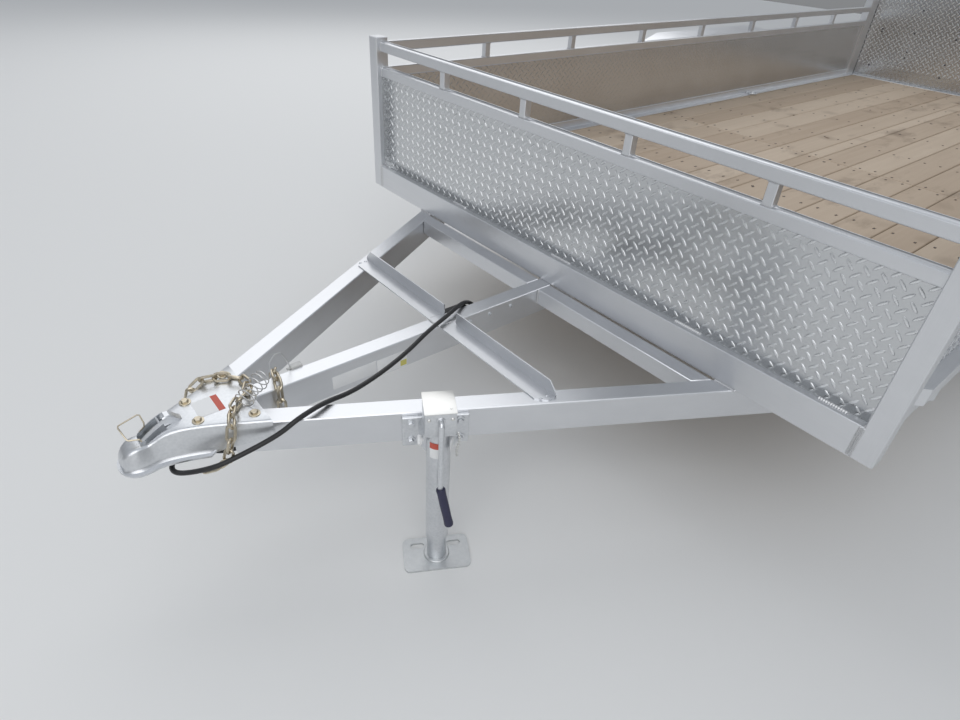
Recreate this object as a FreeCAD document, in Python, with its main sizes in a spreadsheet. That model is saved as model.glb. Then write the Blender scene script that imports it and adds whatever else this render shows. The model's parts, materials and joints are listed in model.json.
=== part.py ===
"""A tandem-axle utility trailer with a plank deck, rails, ramp gate, A-frame tongue and swivel jack.

The frame's origin is on the ground under the middle of the trailer. +X points to the coupler,
+Y to the side with the jack and +Z up. Lengths are in millimetres and angles in degrees.
"""

import math
import os

import FreeCAD
import Part
import Sketcher

os.makedirs("parts", exist_ok=True)
doc = FreeCAD.newDocument("UtilityTrailer")

SIZES = [
    # name, value
    ("front_face", 1533.65),
    ("tongue_top", 450.0),
    ("bed_length", 4315.0),
    ("half_width", 1041.5),
    ("post_side", 50.8),
    ("post_height", 565.0),
    ("rear_post_length", 101.6),
    ("rear_post_height", 600.0),
    ("tube_wall", 3.2),
    ("beam_height", 88.9),
    ("side_beam_width", 50.8),
    ("side_beam_setback", 25.5),
    ("rail_side", 31.75),
    ("rail_setback", 19.05),
    ("top_rail_top", 547.7),
    ("mid_rail_top", 460.0),
    ("stanchion_side", 25.4),
    ("stanchion_pitch", 523.3),
    ("stanchion_first", 548.0),
    ("front_stanchion_inner", 203.2),
    ("front_stanchion_outer", 609.6),
    ("panel_sheet", 3.2),
    ("panel_flange", 19.0),
    ("panel_setback", 33.5),
    ("board_width", 139.7),
    ("board_gap", 3.2),
    ("board_thick", 38.1),
    ("narrow_board", 66.0),
    ("board_joint", 1859.0),
    ("angle_leaf", 4.8),
    ("hold_down_width", 48.0),
    ("hold_down_height", 38.1),
    ("rub_rail_height", 48.0),
    ("rub_rail_lift", 6.0),
    ("rub_rail_front", 150.0),
    ("crossmember_width", 50.8),
    ("axle_middle", 2579.0),
    ("axle_spacing", 863.6),
    ("spindle_height", 335.0),
    ("tyre_gap", 24.0),
    ("tyre_width", 205.0),
    ("rim_radius", 190.5),
    ("rim_width", 152.0),
    ("hub_radius", 62.0),
    ("drum_radius", 140.0),
    ("axle_tube_side", 76.2),
    ("axle_drop", 10.0),
    ("axle_arm", 152.4),
    ("axle_arm_rise", 66.9),
    ("axle_arm_width", 63.5),
    ("axle_arm_thick", 22.0),
    ("spindle_radius", 19.0),
    ("fender_top", 437.0),
    ("fender_cover", 24.9),
    ("fender_sheet", 3.2),
    ("fender_lip", 60.0),
    ("fender_tab", 40.0),
    ("fender_flat_half", 471.0),
    ("fender_knee_half", 700.0),
    ("fender_knee_height", 367.0),
    ("fender_haunch_half", 875.0),
    ("fender_haunch_height", 110.0),
    ("fender_foot_height", 30.0),
    ("gate_gap", 7.0),
    ("gate_depth", 38.1),
    ("gate_height", 1371.6),
    ("gate_bottom", 72.0),
    ("gate_inset", 6.5),
    ("gate_side_tube", 38.1),
    ("gate_hinge_height", 57.0),
    ("gate_hinge_back", 32.0),
    ("hinge_barrel_radius", 12.0),
    ("hinge_barrel_length", 90.0),
    ("hinge_pin_radius", 8.0),
    ("running_fit", 0.05),
    ("tongue_angle", 29.72),
    ("tongue_rail_width", 50.8),
    ("tongue_rail_height", 88.9),
    ("tongue_edge_forward", 50.0),
    ("tongue_edge_side", 666.9),
    ("tongue_rail_back", 700.0),
    ("tongue_rail_ahead", 1172.0),
    ("center_rail_front", 1000.0),
    ("center_rail_back", 508.0),
    ("cross_tube_front", 57.0),
    ("cross_tube_side", 50.8),
    ("cross_bar_back", 395.0),
    ("cross_bar_leaf", 50.8),
    ("cross_bar_half", 445.0),
    ("coupler_back", 988.0),
    ("coupler_sheet", 4.8),
    ("coupler_neck", 1180.0),
    ("coupler_neck_half", 45.0),
    ("coupler_skirt", 76.0),
    ("ball_forward", 1250.0),
    ("ball_radius", 25.4),
    ("ball_drop", 62.0),
    ("dome_radius", 46.0),
    ("jack_along", 710.0),
    ("jack_out", 65.0),
    ("jack_tube_radius", 28.6),
    ("jack_tube_wall", 3.2),
    ("jack_tube_bottom", 365.0),
    ("jack_head_length", 70.0),
    ("jack_head_width", 77.0),
    ("jack_head_top", 78.0),
    ("jack_head_height", 66.0),
    ("jack_foot_length", 176.0),
    ("jack_foot_width", 105.0),
    ("jack_foot_thick", 6.0),
    ("jack_pivot_drop", 35.0),
    ("jack_collar_radius", 42.0),
    ("jack_plate_length", 160.0),
    ("jack_plate_height", 87.0),
    ("jack_plate_drop", 9.0),
    ("jack_plate_thick", 9.5),
    ("crank_reach", 150.0),
    ("crank_radius", 6.5),
    ("crank_grip_radius", 13.0),
    ("crank_grip_length", 95.0),
    ("chain_wire", 6.0),
    ("chain_pitch", 28.0),
    ("chain_inner_length", 33.0),
    ("chain_inner_width", 13.0),
    ("cable_radius", 6.0),
    ("plug_radius", 21.0),
    ("plug_length", 90.0),
    ("lamp_length", 152.0),
    ("lamp_inner", 560.0),
    ("lamp_height", 51.0),
    ("lamp_thick", 24.0),
    ("marker_length", 60.0),
    ("marker_back", 1000.0),
    ("marker_lift", 30.0),
    ("marker_height", 26.0),
    ("marker_thick", 14.0),
    ("ring_wire", 6.0),
    ("ring_radius", 27.0),
]

sheet = doc.addObject("Spreadsheet::Sheet", "Sizes")
for row, (name, value) in enumerate(SIZES, start=1):
    sheet.set(f"A{row}", name)
    sheet.set(f"B{row}", str(value))
    sheet.setAlias(f"B{row}", name)
doc.recompute()


class Size:
    """A length or an angle, with the expression that binds it to the sheet."""

    def __init__(self, value, text):
        self.value = value
        self.text = text

    def __add__(self, other):
        other = size(other)
        return Size(self.value + other.value, f"({self.text} + {other.text})")

    def __sub__(self, other):
        other = size(other)
        return Size(self.value - other.value, f"({self.text} - {other.text})")

    def __mul__(self, other):
        other = size(other)
        return Size(self.value * other.value, f"({self.text} * {other.text})")

    def __truediv__(self, other):
        other = size(other)
        return Size(self.value / other.value, f"({self.text} / {other.text})")

    def __radd__(self, other):
        return size(other) + self

    def __rsub__(self, other):
        return size(other) - self

    def __rmul__(self, other):
        return size(other) * self

    def __neg__(self):
        return size(0) - self


def size(item):
    """A plain number as a Size, or the Size itself."""
    if isinstance(item, Size):
        return item
    return Size(float(item), f"({float(item)})")


def sine(angle):
    return Size(math.sin(math.radians(angle.value)), f"sin({angle.text})")


def cosine(angle):
    return Size(math.cos(math.radians(angle.value)), f"cos({angle.text})")


class S:
    """The sheet's sizes by name."""


for name, value in SIZES:
    setattr(S, name, Size(value, f"Sizes.{name}"))

nodes = {}


def bind(item, prop, amount):
    """Bind one property of a document object to an amount."""
    item.setExpression(prop, size(amount).text)


def place(item, base, axis=None, angle=None):
    """Put an object at a base point, turned about an axis."""
    base = [size(part) for part in base]
    start = FreeCAD.Vector(*[part.value for part in base])
    turn = FreeCAD.Rotation()
    if axis is not None:
        turn = FreeCAD.Rotation(FreeCAD.Vector(*axis), size(angle).value)
    item.Placement = FreeCAD.Placement(start, turn)
    for letter, part in zip("xyz", base):
        bind(item, f"Placement.Base.{letter}", part)
    if axis is not None:
        bind(item, "Placement.Rotation.Angle", angle)


def ordered(span):
    """The two ends of a span, lower first."""
    low, high = size(span[0]), size(span[1])
    if low.value > high.value:
        low, high = high, low
    return low, high


def block(name, x, y, z):
    """A box between two ends along each axis."""
    box = doc.addObject("Part::Box", name)
    base = []
    for prop, span in (("Length", x), ("Width", y), ("Height", z)):
        low, high = ordered(span)
        base.append(low)
        bind(box, prop, high - low)
    place(box, base)
    return box


def rod(name, along, base, radius, length):
    """A cylinder that starts at a base point and runs along X, Y or Z."""
    turns = {"x": ((0, 1, 0), 90), "y": ((1, 0, 0), -90), "z": ((0, 0, 1), 0)}
    axis, angle = turns[along]
    item = doc.addObject("Part::Cylinder", name)
    bind(item, "Radius", radius)
    bind(item, "Height", length)
    base = [size(part) for part in base]
    start = FreeCAD.Vector(*[part.value for part in base])
    item.Placement = FreeCAD.Placement(start, FreeCAD.Rotation(FreeCAD.Vector(*axis), angle))
    for letter, part in zip("xyz", base):
        bind(item, f"Placement.Base.{letter}", part)
    return item


def cut(name, base, tool):
    item = doc.addObject("Part::Cut", name)
    item.Base = base
    item.Tool = tool
    return item


def fuse(name, items):
    item = doc.addObject("Part::MultiFuse", name)
    item.Shapes = items
    item.Refine = True
    return item


def gather(name, items):
    """Like pieces that share a node, as solids that don't touch."""
    item = doc.addObject("Part::Compound", name)
    item.Links = items
    return item


def hollow(name, x, y, z, wall, along):
    """A square tube, open at both ends along one axis."""
    spans = {"x": ordered(x), "y": ordered(y), "z": ordered(z)}
    inner = {}
    for letter, (low, high) in spans.items():
        inset = -wall if letter == along else wall
        inner[letter] = (low + inset, high - inset)
    shell = block(f"{name}_shell", spans["x"], spans["y"], spans["z"])
    core = block(f"{name}_core", inner["x"], inner["y"], inner["z"])
    return cut(name, shell, core)


def plane_of(body, role):
    return [item for item in body.Origin.OriginFeatures if item.Role == role][0]


def outline(body, name, role, offset, points, holes=()):
    """A sketch with a closed outline of corners and with round holes, each (across, up, radius)."""
    sketch = body.newObject("Sketcher::SketchObject", name)
    sketch.AttachmentSupport = [(plane_of(body, role), "")]
    sketch.MapMode = "FlatFace"
    bind(sketch, "AttachmentOffset.Base.z", offset)
    corners = [(size(across), size(up)) for across, up in points]
    count = len(corners)
    spots = [FreeCAD.Vector(across.value, up.value, 0) for across, up in corners]
    for index in range(count):
        sketch.addGeometry(Part.LineSegment(spots[index], spots[(index + 1) % count]), False)
    for index in range(count):
        sketch.addConstraint(Sketcher.Constraint("Coincident", index, 2, (index + 1) % count, 1))
    for index, (across, up) in enumerate(corners):
        for kind, amount in (("DistanceX", across), ("DistanceY", up)):
            number = sketch.addConstraint(Sketcher.Constraint(kind, -1, 1, index, 1, amount.value))
            sketch.setExpression(f"Constraints[{number}]", amount.text)
    for across, up, radius in holes:
        across, up, radius = size(across), size(up), size(radius)
        centre = FreeCAD.Vector(across.value, up.value, 0)
        index = sketch.addGeometry(Part.Circle(centre, FreeCAD.Vector(0, 0, 1), radius.value), False)
        number = sketch.addConstraint(Sketcher.Constraint("Radius", index, radius.value))
        sketch.setExpression(f"Constraints[{number}]", radius.text)
        for kind, amount in (("DistanceX", across), ("DistanceY", up)):
            number = sketch.addConstraint(Sketcher.Constraint(kind, -1, 1, index, 3, amount.value))
            sketch.setExpression(f"Constraints[{number}]", amount.text)
    sketch.Visibility = False
    return sketch


def plate(name, role, span, points, holes=()):
    """A body padded from an outline on an origin plane, between two ends along the plane's normal."""
    low, high = ordered(span)
    body = doc.addObject("PartDesign::Body", name)
    offset = -high if role == "XZ_Plane" else low
    sketch = outline(body, f"{name}_outline", role, offset, points, holes)
    pad = body.newObject("PartDesign::Pad", f"{name}_pad")
    pad.Profile = sketch
    bind(pad, "Length", high - low)
    return body


def spin(name, points, axis="H_Axis"):
    """A body turned from an outline of (along, radius) corners on the YZ plane."""
    body = doc.addObject("PartDesign::Body", name)
    sketch = outline(body, f"{name}_outline", "YZ_Plane", 0, points)
    turn = body.newObject("PartDesign::Revolution", f"{name}_turn")
    turn.Profile = sketch
    turn.ReferenceAxis = (sketch, [axis])
    turn.Angle = 360
    return body


def node(item, label):
    """Name the object that is exported as one sub-part."""
    item.Label = label
    nodes[label] = item
    return item


SIDES = [
    # word, sign
    ("left", 1),
    ("right", -1),
]

# Places along and above the trailer that several pieces share.
FRONT = S.front_face
TONGUE_TOP = S.tongue_top
BED_REAR = FRONT - S.bed_length
BEAM_BACK = FRONT - S.post_side
REAR_POST_FRONT = BED_REAR + S.rear_post_length
DECK_TOP = TONGUE_TOP + S.beam_height
POST_INNER = S.half_width - S.post_side
RAIL_OUTER = S.half_width - S.rail_setback
SIDE_BEAM_OUTER = S.half_width - S.side_beam_setback
SIDE_BEAM_INNER = SIDE_BEAM_OUTER - S.side_beam_width
PANEL_OUTER = S.half_width - S.panel_setback
PANEL_INNER = PANEL_OUTER - S.panel_sheet
WHEEL_Y = S.half_width + S.tyre_gap + S.tyre_width * 0.5
FENDER_Y = WHEEL_Y + S.tyre_width * 0.5 + S.fender_cover
GATE_Y = S.half_width - S.gate_inset
MID_RAIL_BOTTOM = TONGUE_TOP + S.mid_rail_top - S.rail_side


# The frame under the deck: two end beams, two side beams and the crossmembers between them.
front_beam = hollow(
    "front_beam", (BEAM_BACK, FRONT), (-POST_INNER, POST_INNER), (TONGUE_TOP, DECK_TOP), S.tube_wall, "y")
node(front_beam, "front_beam")
rear_beam = hollow(
    "rear_beam", (BED_REAR, BED_REAR + S.post_side), (-POST_INNER, POST_INNER), (TONGUE_TOP, DECK_TOP),
    S.tube_wall, "y")
node(rear_beam, "rear_beam")
side_beams = [
    hollow(
        f"side_beam_{word}", (BEAM_BACK, REAR_POST_FRONT), (sign * SIDE_BEAM_INNER, sign * SIDE_BEAM_OUTER),
        (TONGUE_TOP, DECK_TOP), S.tube_wall, "x")
    for word, sign in SIDES
]
node(gather("side_beam_pair", side_beams), "side_beams")

CROSSMEMBERS = [430.0, 815.0, 1200.0, 1530.0, 1859.0, 2274.0, 2714.0, 3110.0, 3500.0, 3890.0]
crossmember_top = DECK_TOP - S.board_thick
crossmember_list = []
for number, back in enumerate(CROSSMEMBERS, start=1):
    middle = FRONT - back
    crossmember_list.append(hollow(
        f"crossmember_{number}", (middle - S.crossmember_width * 0.5, middle + S.crossmember_width * 0.5),
        (-SIDE_BEAM_INNER, SIDE_BEAM_INNER), (TONGUE_TOP, crossmember_top), S.tube_wall, "y"))
node(gather("crossmember_set", crossmember_list), "crossmembers")


# The deck boards: six whole boards, one ripped narrow and seven whole, each in two lengths.
deck_half = SIDE_BEAM_INNER - S.board_gap
board_pitch = S.board_width + S.board_gap
far_boards = 6
near_boards = 7
BOARD_SPANS = []
for index in range(far_boards):
    edge = -deck_half + index * board_pitch
    BOARD_SPANS.append((edge, edge + S.board_width))
narrow_edge = -deck_half + far_boards * board_pitch
BOARD_SPANS.append((narrow_edge, narrow_edge + S.narrow_board))
for index in range(near_boards):
    edge = deck_half - index * board_pitch
    BOARD_SPANS.append((edge - S.board_width, edge))
BOARD_RUNS = [
    # word, rear end, front end
    ("front", FRONT - S.board_joint + S.board_gap * 0.5, BEAM_BACK - S.board_gap),
    ("rear", BED_REAR + S.post_side + S.board_gap, FRONT - S.board_joint - S.board_gap * 0.5),
]
for word, back, ahead in BOARD_RUNS:
    boards = [
        block(f"board_{word}_{number}", (back, ahead), span, (crossmember_top, DECK_TOP))
        for number, span in enumerate(BOARD_SPANS, start=1)
    ]
    node(gather(f"boards_{word}", boards), f"deck_boards_{word}")


# The corner posts and the rails between them.
front_posts = [
    block(
        f"front_post_{word}", (BEAM_BACK, FRONT), (sign * POST_INNER, sign * S.half_width),
        (TONGUE_TOP, TONGUE_TOP + S.post_height))
    for word, sign in SIDES
]
node(gather("front_post_pair", front_posts), "front_posts")
rear_posts = [
    block(
        f"rear_post_{word}", (BED_REAR, REAR_POST_FRONT), (sign * POST_INNER, sign * S.half_width),
        (TONGUE_TOP, TONGUE_TOP + S.rear_post_height))
    for word, sign in SIDES
]
node(gather("rear_post_pair", rear_posts), "rear_posts")

RAILS = [
    # word, top above the tongue rails
    ("top", S.top_rail_top),
    ("mid", S.mid_rail_top),
]
for word, lift in RAILS:
    high = TONGUE_TOP + lift
    low = high - S.rail_side
    rails = [block(
        f"{word}_rail_front", (BEAM_BACK, BEAM_BACK + S.rail_side), (-POST_INNER, POST_INNER), (low, high))]
    for side, sign in SIDES:
        rails.append(block(
            f"{word}_rail_{side}", (REAR_POST_FRONT, BEAM_BACK),
            (sign * (RAIL_OUTER - S.rail_side), sign * RAIL_OUTER), (low, high)))
    node(gather(f"{word}_rail_set", rails), f"{word}_rails")

stanchion_span = (TONGUE_TOP + S.mid_rail_top, TONGUE_TOP + S.top_rail_top - S.rail_side)
half_stanchion = S.stanchion_side * 0.5
stanchion_list = []
front_row = BEAM_BACK + S.rail_side * 0.5
for across in (S.front_stanchion_outer, S.front_stanchion_inner):
    for word, sign in SIDES:
        stanchion_list.append(block(
            "stanchion", (front_row - half_stanchion, front_row + half_stanchion),
            (sign * across - half_stanchion, sign * across + half_stanchion), stanchion_span))
side_row = RAIL_OUTER - S.rail_side * 0.5
side_stanchions = 7
for index in range(side_stanchions):
    middle = FRONT - S.stanchion_first - index * S.stanchion_pitch
    for word, sign in SIDES:
        stanchion_list.append(block(
            "stanchion", (middle - half_stanchion, middle + half_stanchion),
            (sign * side_row - half_stanchion, sign * side_row + half_stanchion), stanchion_span))
node(gather("stanchion_set", stanchion_list), "stanchions")


# The sheet panels under the mid rails.
panel_span = (DECK_TOP, MID_RAIL_BOTTOM)
front_panel_back = BEAM_BACK + S.side_beam_width * 0.2
front_panel_front = front_panel_back + S.panel_sheet
front_panel_pieces = [
    block("front_panel_sheet", (front_panel_back, front_panel_front), (-POST_INNER, POST_INNER), panel_span),
    block(
        "front_panel_foot", (front_panel_back, front_panel_front + S.panel_flange), (-POST_INNER, POST_INNER),
        (DECK_TOP, DECK_TOP + S.panel_sheet)),
]
for word, sign in SIDES:
    front_panel_pieces.append(block(
        f"front_panel_flange_{word}", (front_panel_back, front_panel_front + S.panel_flange),
        (sign * POST_INNER, sign * (POST_INNER - S.panel_sheet)), panel_span))
node(fuse("front_panel_bent", front_panel_pieces), "front_panel")
for word, sign in SIDES:
    node(block(
        f"side_panel_{word}", (REAR_POST_FRONT, BEAM_BACK), (sign * PANEL_INNER, sign * PANEL_OUTER),
        panel_span), f"side_panel_{word}")

# The angles that hold the deck's edges down and the rub rails outside the panels.
angle_list = []
rub_list = []
fender_front = FRONT - S.axle_middle + S.fender_haunch_half
fender_rear = FRONT - S.axle_middle - S.fender_haunch_half
RUB_RUNS = [
    # rear end, front end
    (fender_front + S.fender_sheet, FRONT - S.rub_rail_front),
    (REAR_POST_FRONT, fender_rear - S.fender_sheet),
]
for word, sign in SIDES:
    flat = block(
        f"hold_down_flat_{word}", (REAR_POST_FRONT, BEAM_BACK),
        (sign * (PANEL_INNER - S.hold_down_width), sign * PANEL_INNER), (DECK_TOP, DECK_TOP + S.angle_leaf))
    upright = block(
        f"hold_down_upright_{word}", (REAR_POST_FRONT, BEAM_BACK),
        (sign * (PANEL_INNER - S.angle_leaf), sign * PANEL_INNER), (DECK_TOP, DECK_TOP + S.hold_down_height))
    angle_list.append(fuse(f"hold_down_{word}", [flat, upright]))
    for back, ahead in RUB_RUNS:
        rub_list.append(hollow(
            f"rub_rail_{word}", (back, ahead), (sign * PANEL_OUTER, sign * S.half_width),
            (DECK_TOP + S.rub_rail_lift, DECK_TOP + S.rub_rail_lift + S.rub_rail_height), S.tube_wall, "x"))
node(gather("hold_down_pair", angle_list), "hold_down_angles")
node(gather("rub_rail_set", rub_list), "rub_rails")


# The fenders: a bent arch over both wheels with a lip along its outer edge.
FENDER_CORNERS = [
    # half length, height above the tongue rails, share of the inset along, share of the inset down
    (S.fender_haunch_half, S.fender_foot_height, 1.0, 0.0),
    (S.fender_haunch_half, S.fender_haunch_height, 1.0, 0.31),
    (S.fender_knee_half, S.fender_knee_height, 0.63, 0.85),
    (S.fender_flat_half, S.fender_top, 0.15, 1.0),
]


def fender_arch(inset):
    """The corners of an arch band, outer edge rear to front and then inner edge back."""
    middle = FRONT - S.axle_middle
    outer = []
    inner = []
    for half, height, along, down in FENDER_CORNERS:
        outer.append((-half, TONGUE_TOP + height))
        inner.append((-(half - along * inset), TONGUE_TOP + height - down * inset))
    for half, height, along, down in reversed(FENDER_CORNERS):
        outer.append((half, TONGUE_TOP + height))
        inner.append((half - along * inset, TONGUE_TOP + height - down * inset))
    ring = outer + inner[::-1]
    return [(middle + along, up) for along, up in ring]


for word, sign in SIDES:
    arch = plate(
        f"fender_arch_{word}", "XZ_Plane", (sign * RAIL_OUTER, sign * FENDER_Y), fender_arch(S.fender_sheet))
    lip = plate(
        f"fender_lip_{word}", "XZ_Plane",
        (sign * (FENDER_Y - S.fender_sheet), sign * FENDER_Y),
        fender_arch(S.fender_lip))
    foot_z = TONGUE_TOP + S.fender_foot_height
    tabs = []
    for end in (1, -1):
        tab_x = FRONT - S.axle_middle + end * S.fender_haunch_half
        tabs.append(block(
            f"fender_tab_{word}", (tab_x, tab_x - end * S.fender_sheet),
            (sign * SIDE_BEAM_OUTER, sign * (RAIL_OUTER + S.fender_tab)), (foot_z, foot_z + S.fender_tab)))
    node(fuse(f"fender_bent_{word}", [arch, lip, *tabs]), f"fender_{word}")


# The torsion axles: a square tube under the side beams, trailing arms, spindles and backing plates.
AXLES = [
    # word, distance ahead of the middle between the axles
    ("front", S.axle_spacing * 0.5),
    ("rear", S.axle_spacing * -0.5),
]
axle_tube_high = TONGUE_TOP - S.axle_drop
axle_tube_low = axle_tube_high - S.axle_tube_side
arm_run = S.axle_arm * 0.9
for word, ahead in AXLES:
    wheel_x = FRONT - S.axle_middle + ahead
    tube_x = wheel_x + arm_run
    half_tube = S.axle_tube_side * 0.5
    tube_y = SIDE_BEAM_OUTER + S.axle_arm_thick * 0.25
    pieces = [block(
        f"axle_tube_{word}", (tube_x - half_tube, tube_x + half_tube), (-tube_y, tube_y),
        (axle_tube_low, axle_tube_high))]
    for side, sign in SIDES:
        arm_in = sign * tube_y
        arm_out = sign * (tube_y + S.axle_arm_thick)
        half_arm = S.axle_arm_width * 0.5
        pieces.append(plate(
            f"axle_arm_{word}_{side}", "XZ_Plane", (arm_in, arm_out), [
                (wheel_x - half_arm, S.spindle_height - half_arm),
                (wheel_x + half_arm * 0.8, S.spindle_height - half_arm),
                (tube_x + half_arm, axle_tube_low + half_arm * 0.2),
                (tube_x + half_arm, axle_tube_high - half_arm * 0.2),
                (tube_x - half_arm * 0.6, axle_tube_high - half_arm * 0.2),
                (wheel_x - half_arm, S.spindle_height + half_arm * 0.8),
            ]))
        base_y = arm_in if sign > 0 else sign * WHEEL_Y
        length = WHEEL_Y - tube_y
        pieces.append(rod(
            f"spindle_{word}_{side}", "y", (wheel_x, base_y, S.spindle_height), S.spindle_radius, length))
        bracket_in = SIDE_BEAM_OUTER - S.side_beam_width
        pieces.append(block(
            f"axle_bracket_{word}_{side}", (tube_x - S.axle_tube_side, tube_x + S.axle_tube_side),
            (sign * bracket_in, sign * SIDE_BEAM_OUTER), (axle_tube_high, TONGUE_TOP)))
    node(fuse(f"axle_welded_{word}", pieces), f"axle_{word}")


# The wheels: each a tyre on a rim with a hub and drum that run on the spindle.
half_tyre = S.tyre_width * 0.5
half_rim = S.rim_width * 0.5
TYRE_CORNERS = [
    # along the axle as a share of half the width, height above the rim as a share of the whole
    (0.76, 0.0), (0.97, 0.35), (0.98, 0.72), (0.78, 1.0),
]
tyre_height = S.spindle_height - S.rim_radius
tyre_profile = [(half_tyre * along, S.rim_radius + tyre_height * up) for along, up in TYRE_CORNERS]
tyre_profile += [(-half_tyre * along, S.rim_radius + tyre_height * up) for along, up in TYRE_CORNERS[::-1]]
rim_sheet = S.tube_wall
disc_at = half_rim * 0.25
hub_seat = S.spindle_radius + S.running_fit
hub_hole = S.hub_radius * 0.7
rim_lip = S.rim_radius - rim_sheet * 4
rim_well = S.rim_radius - rim_sheet * 9
disc_bulge = S.hub_radius * 1.8
rim_profile = [
    # barrel's outer face, the front dish down to the hub hole, then the back of the disc and barrel
    (-half_rim, S.rim_radius), (half_rim, S.rim_radius), (half_rim, rim_lip),
    (disc_at + rim_sheet, rim_well), (disc_at + rim_sheet * 7, disc_bulge), (disc_at, hub_hole),
    (disc_at - rim_sheet * 2, hub_hole), (disc_at + rim_sheet * 5, disc_bulge),
    (disc_at - rim_sheet * 2, rim_well), (-half_rim, rim_lip),
]
cap_radius = hub_hole * 0.58
flange_radius = S.hub_radius * 1.3
hub_profile = [
    # the drum's open edge and face, the hub's flange and the grease cap
    (-half_rim, hub_seat), (-half_rim, S.drum_radius), (-half_rim * 0.1, S.drum_radius),
    (-half_rim * 0.1, flange_radius), (disc_at - rim_sheet * 2, flange_radius),
    (disc_at - rim_sheet * 2, hub_hole), (disc_at + half_rim * 0.45, hub_hole),
    (disc_at + half_rim * 0.8, cap_radius), (disc_at + half_rim * 0.8, 0), (disc_at + half_rim * 0.5, 0),
    (disc_at + half_rim * 0.5, hub_seat),
]


def faceted(profile, sides):
    """A ring of flat faces about the Y axis, with its flats' middles on the profile of (along, radius)."""
    stretch = 1 / math.cos(math.pi / sides)
    rings = []
    for index in range(sides):
        angle = 2 * math.pi * (index + 0.5) / sides
        across, up = math.cos(angle) * stretch, math.sin(angle) * stretch
        rings.append([
            FreeCAD.Vector(radius.value * across, along.value, radius.value * up) for along, radius in profile
        ])
    faces = []
    count = len(profile)
    for index, ring in enumerate(rings):
        after = rings[(index + 1) % sides]
        for corner in range(count):
            far = (corner + 1) % count
            faces.append(Part.Face(Part.makePolygon([
                ring[corner], ring[far], after[far], after[corner], ring[corner]])))
    solid = Part.makeSolid(Part.makeShell(faces))
    if solid.Volume < 0:
        solid.reverse()
    return solid


wheel_sides = 40
WHEELS = [
    # word, axle's distance ahead of the middle, side
    (f"{end}_{side}", ahead, sign) for end, ahead in AXLES for side, sign in SIDES
]
for word, ahead, sign in WHEELS:
    centre = (FRONT - S.axle_middle + ahead, sign * WHEEL_Y, S.spindle_height)
    for piece, profile in (("tyre", tyre_profile), ("rim", rim_profile)):
        item = doc.addObject("Part::Feature", f"{piece}_{word}")
        item.Shape = faceted([(sign * size(along), size(radius)) for along, radius in profile], wheel_sides)
        place(item, centre)
        node(item, f"{piece}_{word}")
    hub = spin(f"hub_{word}", [(sign * along, radius) for along, radius in hub_profile])
    place(hub, centre)
    node(hub, f"hub_{word}")


# The ramp gate behind the rear posts.
gate_front = BED_REAR - S.gate_gap
gate_back = gate_front - S.panel_sheet - S.gate_depth
gate_low = TONGUE_TOP + S.gate_bottom
gate_high = gate_low + S.gate_height
gate_tube_front = gate_front - S.panel_sheet
gate_tubes = []
for word, sign in SIDES:
    gate_tubes.append(block(
        f"gate_stile_{word}", (gate_back, gate_tube_front),
        (sign * (GATE_Y - S.gate_side_tube), sign * GATE_Y), (gate_low, gate_high)))
GATE_BARS = [0.0, 0.25, 0.5, 0.75, 1.0]
gate_bar_inner = GATE_Y - S.gate_side_tube
for share in GATE_BARS:
    low = gate_low + share * (S.gate_height - S.gate_side_tube)
    gate_tubes.append(block(
        "gate_bar", (gate_back, gate_tube_front), (-gate_bar_inner, gate_bar_inner),
        (low, low + S.gate_side_tube)))
node(fuse("gate_welded", gate_tubes), "gate_frame")
node(block(
    "gate_sheet", (gate_tube_front, gate_front), (-GATE_Y, GATE_Y),
    (gate_low, gate_high)), "gate_panel")

# The gate's hinges: a fixed barrel on the rear beam between two barrels on the gate, on one pin.
hinge_x = BED_REAR - S.gate_hinge_back
hinge_z = TONGUE_TOP + S.gate_hinge_height
HINGES = [-0.8, 0.0, 0.8]
fixed_barrels = []
gate_barrels = []
for share in HINGES:
    middle = share * GATE_Y
    half = S.hinge_barrel_length * 0.5
    barrel = rod("hinge_barrel", "y", (hinge_x, middle - half, hinge_z), S.hinge_barrel_radius,
                 S.hinge_barrel_length)
    strap = block(
        "hinge_strap", (hinge_x, BED_REAR), (middle - half, middle + half),
        (hinge_z - S.hinge_barrel_radius, hinge_z - S.hinge_barrel_radius + S.tube_wall))
    leaf = block(
        "hinge_leaf", (BED_REAR - S.tube_wall, BED_REAR), (middle - half, middle + half),
        (TONGUE_TOP + S.tube_wall, hinge_z))
    bore = rod("hinge_bore", "y", (hinge_x, middle - half - 1, hinge_z), S.hinge_pin_radius + S.running_fit,
               S.hinge_barrel_length + 2)
    fixed_barrels.append(cut("hinge_fixed", fuse("hinge_fixed_solid", [barrel, strap, leaf]), bore))
    pin_half = half + S.hinge_barrel_radius * 3
    pieces = [rod("hinge_pin", "y", (hinge_x, middle - pin_half, hinge_z), S.hinge_pin_radius, pin_half * 2)]
    for sign in (1, -1):
        near = half + S.board_gap * 0.5
        y = (middle + sign * near, middle + sign * pin_half)
        low = ordered(y)[0]
        pieces.append(rod("hinge_ear", "y", (hinge_x, low, hinge_z), S.hinge_barrel_radius, pin_half - near))
        pieces.append(block(
            "hinge_lug", (hinge_x - S.hinge_barrel_radius * 0.7, hinge_x + S.hinge_barrel_radius * 0.7), y,
            (hinge_z, gate_low)))
    gate_barrels.append(fuse("hinge_moving", pieces))
node(gather("hinge_fixed_set", fixed_barrels), "gate_hinge_leaves")
node(gather("hinge_moving_set", gate_barrels), "gate_hinge_pins")


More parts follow.
